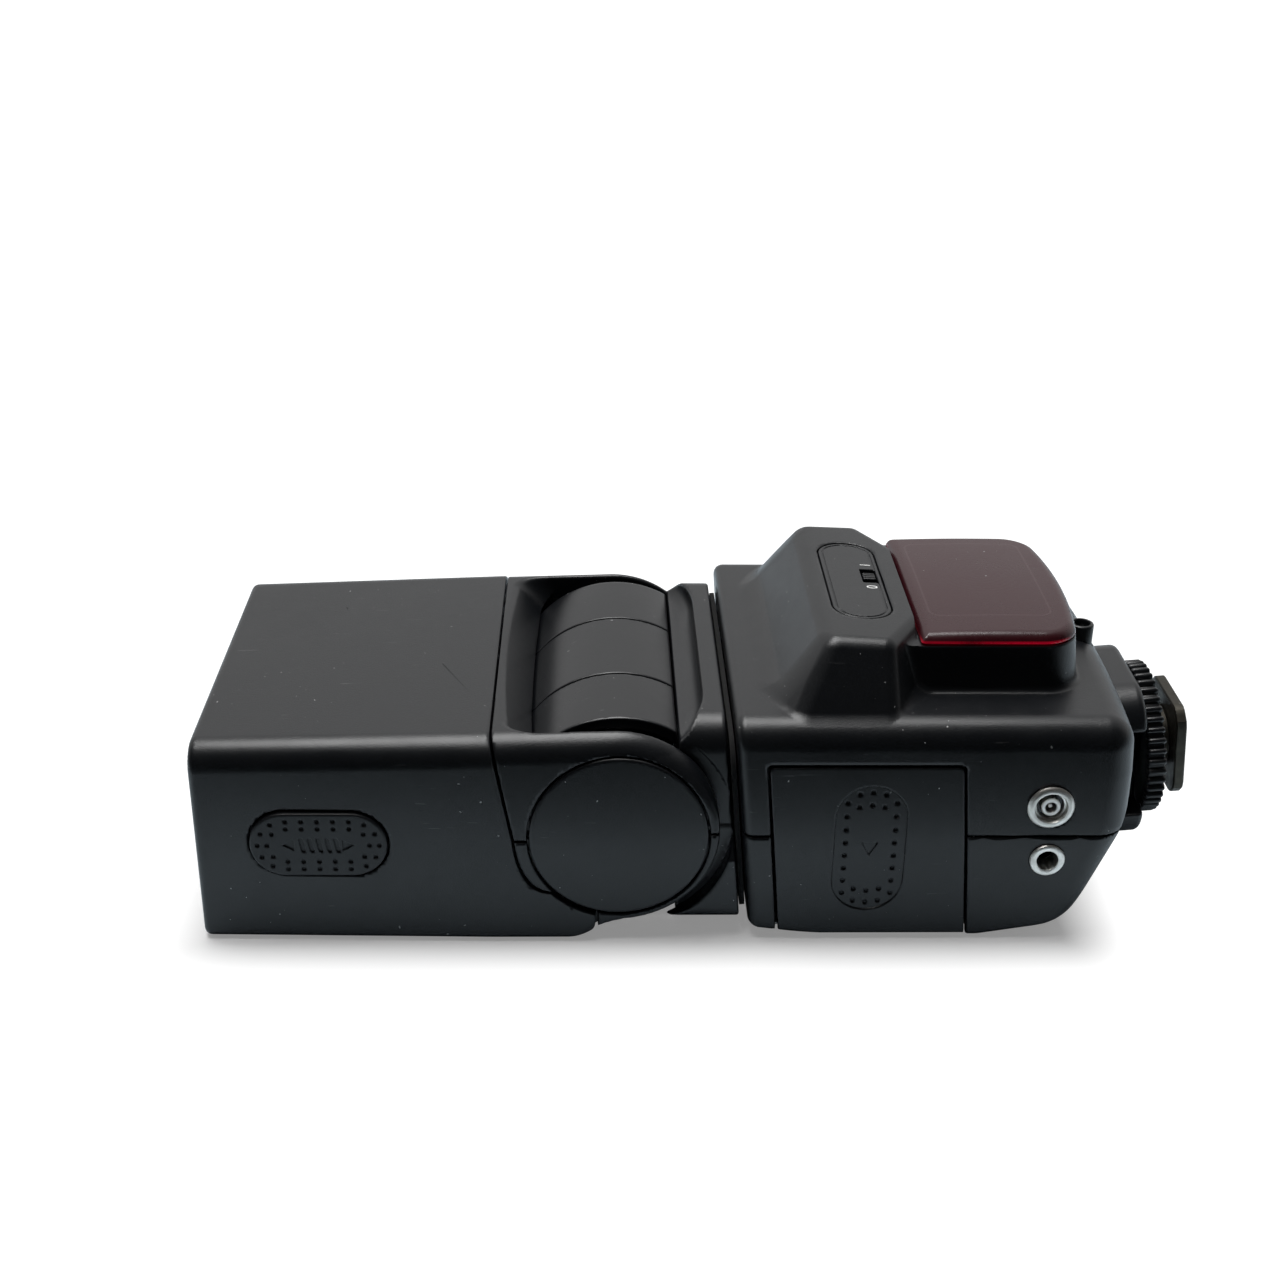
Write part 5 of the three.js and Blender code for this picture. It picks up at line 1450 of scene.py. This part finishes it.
class FLASH_OT_sensor(FlashOperator, bpy.types.Operator):
    """Small sensor in its tube at the foot end"""
    bl_idname = "flash.sensor"
    bl_label = "Sensor tube"

    def execute(self, context):
        place, up = (SENSOR_X, 0, 0), (0, 0, 1)
        bottom, top, r = SHOULDER - 5, SENSOR_TOP, SENSOR_R
        turned("sensor_barrel", [
            (r, bottom), (r, top - 0.35), (r - 0.12, top - 0.12), (r - 0.35, top),
            (r - 0.6, top), (r - 0.75, top - 0.15), (r - 0.8, top - 0.4), (r - 0.8, bottom),
            (r, bottom)], place, up, 64, "case", "fine", "trim_black", "sensor_tube")
        e = r - 0.8 - GAP
        turned("sensor_dome", [
            (0, bottom), (e, bottom), (e, top - 2.4), (0.9 * e, top - 1.9),
            (0.6 * e, top - 1.45), (0.3 * e, top - 1.27), (0, top - 1.22)],
            place, up, 48, "case", "gloss", "trim_black", "sensor_eye")
        return {"FINISHED"}


class FLASH_OT_sockets(FlashOperator, bpy.types.Operator):
    """Sync socket and trigger jack on the near side"""
    bl_idname = "flash.sockets"
    bl_label = "Sockets"

    def execute(self, context):
        side, face, inner = -HALF, -HALF - 0.15, (0, 1, 0)
        sync, jack = (SOCKET_X, 0, PC_Z), (SOCKET_X + 0.5, 0, JACK_Z)
        turned("sync_ring", [
            (2.35, side + 5.6), (3.7, side + 5.6), (3.7, side), (4.15, side + 0.1),
            (4.2, face), (4.05, face - 0.2), (3.75, face - 0.42), (3.4, face - 0.5),
            (3.0, face - 0.45), (2.85, face - 0.2), (2.8, face + 0.5), (2.5, face + 0.6),
            (2.35, face + 1.0), (2.35, side + 5.6)],
            sync, inner, 96, "case", "nickel", "nickel", "pc_socket_ring")
        turned("sync_core", [
            (0, face + 0.6), (0.32, face + 0.62), (0.48, face + 0.85), (0.5, side + 3.8),
            (0.95, side + 3.8), (0.95, face + 0.2), (1.1, face), (1.6, face),
            (1.75, face + 0.2), (1.75, side + 5), (0, side + 5)],
            sync, inner, 64, "case", "nickel", "nickel", "pc_socket_core")
        turned("sync_insulator", [
            (1.8, face + 1.3), (2.3, face + 1.3), (2.3, side + 5), (1.8, side + 5),
            (1.8, face + 1.3)], sync, inner, 64, "case", "gloss", "trim_black")
        turned("jack_ring", [
            (1.9, side + 3.6), (2.6, side + 3.6), (2.6, side), (3.15, side + 0.1),
            (3.2, face), (3.05, face - 0.25), (2.8, face - 0.35), (2.3, face - 0.35),
            (2.0, face - 0.25), (1.9, face), (1.9, side + 3.6)],
            jack, inner, 96, "case", "nickel", "nickel", "jack_socket_ring")
        finish_nodes(jack_socket_body="fine")
        return {"FINISHED"}


# ------------------------------------------------------------------ back, power and foot
class FLASH_OT_controls(FlashOperator, bpy.types.Operator):
    """Control panel on the back with its buttons and power switch"""
    bl_idname = "flash.controls"
    bl_label = "Controls on the back"

    def execute(self, context):
        finish_nodes(control_board="board", control_panel="fine")
        down = Matrix.Rotation(math.pi, 4, "X") @ Matrix.Rotation(math.pi / 2, 4, "Z")
        for node, (y, mark) in BUTTONS.items():
            turned(node.replace("button", "cap"), [
                (0, 0.4), (1.4, 0.36), (2.1, 0.28), (2.42, 0.36), (2.57, 0.6), (2.6, 0.9),
                (2.6, 3.3), (3.5, 3.3), (3.5, 4.5), (0, 4.5)], (BUTTON_X, y, 0), (0, 0, 1), 64,
                node.replace("button", "key"), "pad", "pad_black", node)
            if mark:
                place = Matrix.Translation((BUTTON_X + 3.9, y, 0.2)) @ down
                lettering(f"mark_{node}", mark, 2.6, place, 0.02)
        knob = block("power_knob", (BUTTON_X - 1.4, POWER_Y - 1.3, 0.25),
                     (BUTTON_X + 1.4, POWER_Y + 1.3, 4.4), 0.3)
        fitted(knob, "power_knob", "pad", "pad_black")
        foot = block("power_foot", (BUTTON_X - 2.4, POWER_Y - 2.4, 3.3),
                     (BUTTON_X + 2.4, POWER_Y + 2.4, 4.5), 0.15)
        fitted(foot, "power_knob", "pad", "pad_black", "power_switch")
        return {"FINISHED"}


class FLASH_OT_power(FlashOperator, bpy.types.Operator):
    """Cells, bay, contacts, boards and the capacitor"""
    bl_idname = "flash.power"
    bl_label = "Power and boards"

    def execute(self, context):
        profile = [(0, 0.1), (3.5, 0.1), (6.2, 0.0), (6.8, 0.12), (7.05, 0.5), (7.1, 0.9),
                   (7.1, 48.4), (7.0, 48.9), (6.6, 49.2), (6.0, 49.1), (5.2, 48.9),
                   (3.0, 48.95), (2.75, 49.1), (2.7, 50.2), (2.5, 50.5), (0, 50.5)]
        for number, points_in in ((1, True), (2, False), (3, False), (4, True)):
            low, high = local(f"aa_cell_{number}")
            x, _, z = (low + high) / 2
            start, way = (low[1], 1) if points_in else (high[1], -1)
            turned(f"cell_{number}", profile, (x, start, z), (0, way, 0), 64,
                   "case", "cell", "cell_cover", f"aa_cell_{number}")
        finish_nodes(battery_bay="frame", cell_contacts="nickel", main_board="board",
                     capacitor="can")
        return {"FINISHED"}


FOOT = Matrix.Translation((PLATE_X, 0, PLATE_Z)) @ Matrix.Rotation(-LEAN, 4, "Y")
FOOT_FACE, FOOT_AXIS = FOOT.to_translation(), FOOT.to_3x3() @ Vector((1, 0, 0))
WHEEL_R, WHEEL_BACK, WHEEL_FRONT = 14.5, -8.7, -5.2
WHEEL_RIBS = 44


def even_outline(corners, count):
    """Points at even angles on a convex outline round the origin, and their directions."""
    corners = np.array(corners)
    sides = np.roll(corners, -1, 0) - corners
    outwards = np.stack([sides[:, 1], -sides[:, 0]], 1)
    turn = 2 * np.pi * np.arange(count) / count
    ways = np.stack([np.cos(turn), np.sin(turn)], 1)
    facing = np.maximum(ways @ outwards.T, 1e-9)
    reach = ((corners * outwards).sum(1) / facing).min(1)
    return ways * reach[:, None], ways


class FLASH_OT_foot(FlashOperator, bpy.types.Operator):
    """Foot block, ribbed lock wheel, washer, shoe plate and contact pin"""
    bl_idname = "flash.foot"
    bl_label = "Shoe foot"

    def execute(self, context):
        moulding("foot_base", "foot_block", foot_base_form, self.sizes.mesh_step,
                 "case", "shell", "shell_black")
        self.wheel()
        turned("washer", [
            (6.4, -4.85), (6.45, -4.9), (9.3, -4.9), (9.5, -4.75), (9.5, -4.35), (9.3, -4.2),
            (6.45, -4.2), (6.4, -4.3), (6.4, -4.85)], FOOT_FACE, FOOT_AXIS, 96,
            "washer", "steel", "steel", "clamp_washer")
        self.plate()
        turned("pin", [
            (0, -15.5), (1.55, -15.5), (1.55, -0.1), (1.35, 0.32), (0.9, 0.54), (0.4, 0.6),
            (0, 0.6)], FOOT_FACE, FOOT_AXIS, 48, "pin", "brass", "brass", "contact_pin")
        return {"FINISHED"}

    def wheel(self):
        """Wheel with ribs set round its rim."""
        back, front = WHEEL_BACK, WHEEL_FRONT
        turned("wheel_core", [
            (6.4, back + 0.2), (6.6, back), (13.4, back), (14.05, back + 0.3),
            (14.1, back + 0.6), (14.1, front - 0.6), (14.05, front - 0.3), (13.4, front),
            (6.6, front), (6.4, front - 0.2), (6.4, back + 0.2)], FOOT_FACE, FOOT_AXIS, 128,
            "wheel", "fine", "trim_black", "lock_wheel")
        work = bmesh.new()
        loops = []
        for height, narrow in ((back, 0.72), (back + 0.25, 0.93), (back + 0.5, 1.0),
                               (front - 0.5, 1.0), (front - 0.25, 0.93), (front, 0.72)):
            half = 0.72 * narrow
            turns = (math.pi * i / 8 for i in range(9))
            outline = [(14.0 + 0.98 * narrow * math.sin(a), half * math.cos(a)) for a in turns]
            outline += [(13.2, -half), (13.2, half)]
            loops.append([work.verts.new((reach - WHEEL_R, y, height)) for reach, y in outline])
        for below, above in zip(loops, loops[1:]):
            bridge(work, below, above)
        work.faces.new(loops[0][::-1])
        work.faces.new(loops[-1])
        ribs = shaded("wheel_ribs", work, 50, (0, 0, 0))
        repeated(ribs, "ribs_round_wheel", FINISH["fine"],
                 {"Count": (INT, WHEEL_RIBS), "Radius": (FLOAT, WHEEL_R * MM)}, in_a_circle)
        turn = FOOT.to_3x3() @ Matrix.Rotation(math.pi / 2, 3, "Y")
        centre = (FOOT_FACE + Vector(ORIGIN)) * MM
        ribs.data.transform(Matrix.Translation(centre) @ turn.to_4x4())
        fitted(ribs, "wheel", None, "trim_black")

    def plate(self):
        """Shoe plate with cut corners on its hollow stem."""
        a, b, c = 9.3, 9.5, 2.4
        outline, circle = even_outline(
            [(-a + c, -b), (a - c, -b), (a, -b + c), (a, b - c), (a - c, b), (-a + c, b),
             (-a, b - c), (-a, -b + c)], 64)
        bore, back = 1.9 * circle, -2.1
        work = bmesh.new()
        loops = [[work.verts.new((x, y, z)) for y, z in path] for x, path in (
            (back, (1 - 0.3 / 9.4) * outline), (back + 0.25, outline), (-0.25, outline),
            (0, (1 - 0.28 / 9.4) * outline), (0, 1.1 * bore), (-0.2, bore), (back, bore))]
        for loop, other in zip(loops, loops[1:] + loops[:1]):
            bridge(work, loop, other)
        bmesh.ops.transform(work, matrix=FOOT, verts=work.verts)
        fitted(shaded("shoe_plate", work, 30), "case", "foot", "foot_metal", "foot_plate")
        turned("shoe_stem", [
            (1.9, -25.7), (6.0, -25.7), (6.0, -2.35), (5.8, -2.1), (1.9, -2.1), (1.9, -25.7)],
            FOOT_FACE, FOOT_AXIS, 64, "case", "foot", "foot_metal")


# ------------------------------------------------------------------ studio
CAMERA_PLACE = (71.2, -312.8, 195.6)            # millimetres from the lens end
CAMERA_DOWN, CAMERA_TURN, CAMERA_ROLL = (math.radians(a) for a in (26.0, 1.6, 0.8))
CAMERA_SENSOR, CAMERA_LENS = 36, 51.01875       # millimetres
LAMP_PLACE, LAMP_SIZE = (-0.08, 0.09, 0.7), (0.5, 0.4)      # metres
FLOOR_HALF = 1.5
SHADOW_SHORT = 9.0     # how much the shadow on the floor is shorter than the body, in mm


class FLASH_OT_studio(FlashOperator, bpy.types.Operator):
    """Pale floor, soft light and the camera"""
    bl_idname = "flash.studio"
    bl_label = "Studio"

    def execute(self, context):
        scene = context.scene
        studio = scene.flash_studio
        self.floor()
        self.surroundings(scene, studio.back, studio.front)
        self.lamp(studio.key)
        self.camera(scene)
        scene.view_settings.view_transform = "Standard"
        return {"FINISHED"}

    def floor(self):
        """White floor that keeps the shadow round the flash, and that the near side of the
        flash mirrors as dark."""
        work = bmesh.new()
        bmesh.ops.create_grid(work, x_segments=1, y_segments=1, size=FLOOR_HALF)
        mesh = bpy.data.meshes.new("floor")
        work.to_mesh(mesh)
        work.free()
        floor = linked("floor", mesh)
        made = bpy.data.materials.new("floor_white")
        made.use_nodes = True
        made.node_tree.nodes.clear()
        t = Tree(made.node_tree)
        x, y, _ = t.split(t.node("ShaderNodeTexCoord").outputs["Object"])
        seen = t.node("ShaderNodeLightPath").outputs["Is Camera Ray"]
        mirrored = t.mix(t.span(y, -0.104, -0.078), grey(0.005), (0.72, 0.84, 0.92, 1))
        surface = t.node("ShaderNodeBsdfPrincipled", {
            "Base Color": t.mix(seen, mirrored, grey(0.94)), "Roughness": 0.7,
            "Specular IOR Level": 0.05})
        lit = t.node("ShaderNodeEmission", {"Color": grey(1.0), "Strength": 1.25})
        half = (BODY_END - SHADOW_SHORT) / 2
        beside = [t.math("MAXIMUM", t.minus(t.off(value, middle), reach), 0.0)
                  for value, middle, reach in ((x, (half + ORIGIN[0]) * MM, half * MM),
                                               (y, 0.0, HALF * MM))]
        away = t.span(t.hypot(*beside), 0.0, 0.014, 0.2, 0.93)
        blend = t.node("ShaderNodeMixShader", {
            0: t.times(seen, away), 1: surface.outputs[0], 2: lit.outputs[0]})
        t.node("ShaderNodeOutputMaterial", {0: blend.outputs[0]})
        floor.data.materials.append(made)

    def surroundings(self, scene, back, front):
        """Bright behind and above, dark in front, and white where the camera looks."""
        world = bpy.data.worlds.new("studio")
        scene.world = world
        world.use_nodes = True
        world.node_tree.nodes.clear()
        t = Tree(world.node_tree)
        _, y, _ = t.split(t.node("ShaderNodeTexCoord").outputs["Generated"])
        seen = t.node("ShaderNodeLightPath").outputs["Is Camera Ray"]
        strength = t.math("MAXIMUM", t.span(y, -0.12, 0.4, front, back), seen)
        sky = t.node("ShaderNodeBackground", {"Color": grey(1.0), "Strength": strength})
        t.node("ShaderNodeOutputWorld", {0: sky.outputs[0]})

    def lamp(self, power):
        """Soft lamp above, a little behind and to the lens side."""
        data = bpy.data.lights.new("overhead", "AREA")
        data.shape = "RECTANGLE"
        data.size, data.size_y = LAMP_SIZE
        data.energy = power
        lamp = linked("overhead", data)
        lamp.location = LAMP_PLACE
        lamp.rotation_euler = (-Vector(LAMP_PLACE)).to_track_quat("-Z", "Y").to_euler()

    def camera(self, scene):
        """Camera that looks down on the near side, turned and tilted a little."""
        data = bpy.data.cameras.new("camera")
        data.sensor_width, data.lens = CAMERA_SENSOR, CAMERA_LENS
        data.clip_start, data.clip_end = 0.01, 10
        camera = linked("camera", data)
        camera.matrix_world = (Matrix.Translation((Vector(CAMERA_PLACE) + Vector(ORIGIN)) * MM)
                               @ Matrix.Rotation(-CAMERA_TURN, 4, "Z")
                               @ Matrix.Rotation(math.pi / 2 - CAMERA_DOWN, 4, "X")
                               @ Matrix.Rotation(CAMERA_ROLL, 4, "Z"))
        scene.camera = camera


class FLASH_PT_panel(bpy.types.Panel):
    """Panel that lists the pieces of the flash"""
    bl_idname = "FLASH_PT_panel"
    bl_label = "Camera flash"
    bl_space_type = "VIEW_3D"
    bl_region_type = "UI"
    bl_category = "Flash"

    def draw(self, context):
        layout = self.layout
        for group in ("flash_sizes", "flash_colours", "flash_studio"):
            settings = getattr(context.scene, group)
            for key in settings.__annotations__:
                layout.prop(settings, key)
        for operator in OPERATORS:
            layout.operator(operator.bl_idname)


GROUP_CLASSES = {"flash_sizes": FlashSizes, "flash_colours": FlashColours,
                 "flash_studio": FlashStudio}
OPERATORS = (
    FLASH_OT_studio, FLASH_OT_head_sleeve, FLASH_OT_head_optics, FLASH_OT_rear_shells,
    FLASH_OT_hinge, FLASH_OT_neck, FLASH_OT_body_shells, FLASH_OT_battery_door,
    FLASH_OT_red_window, FLASH_OT_label, FLASH_OT_sensor, FLASH_OT_sockets, FLASH_OT_controls,
    FLASH_OT_power, FLASH_OT_foot)


def register():
    for name, group in GROUP_CLASSES.items():
        bpy.utils.register_class(group)
        setattr(bpy.types.Scene, name, bpy.props.PointerProperty(type=group))
    for made in (*OPERATORS, FLASH_PT_panel):
        bpy.utils.register_class(made)


def unregister():
    for made in reversed((*OPERATORS, FLASH_PT_panel)):
        bpy.utils.unregister_class(made)
    for name, group in GROUP_CLASSES.items():
        delattr(bpy.types.Scene, name)
        bpy.utils.unregister_class(group)


def main():
    register()
    FINISH.update(make_finishes(bpy.context.scene.flash_colours))
    for operator in OPERATORS:
        group, name = operator.bl_idname.split(".")
        if getattr(getattr(bpy.ops, group), name)() != {"FINISHED"}:
            raise RuntimeError(f"{operator.bl_label} didn't finish")


if __name__ == "__main__":
    main()
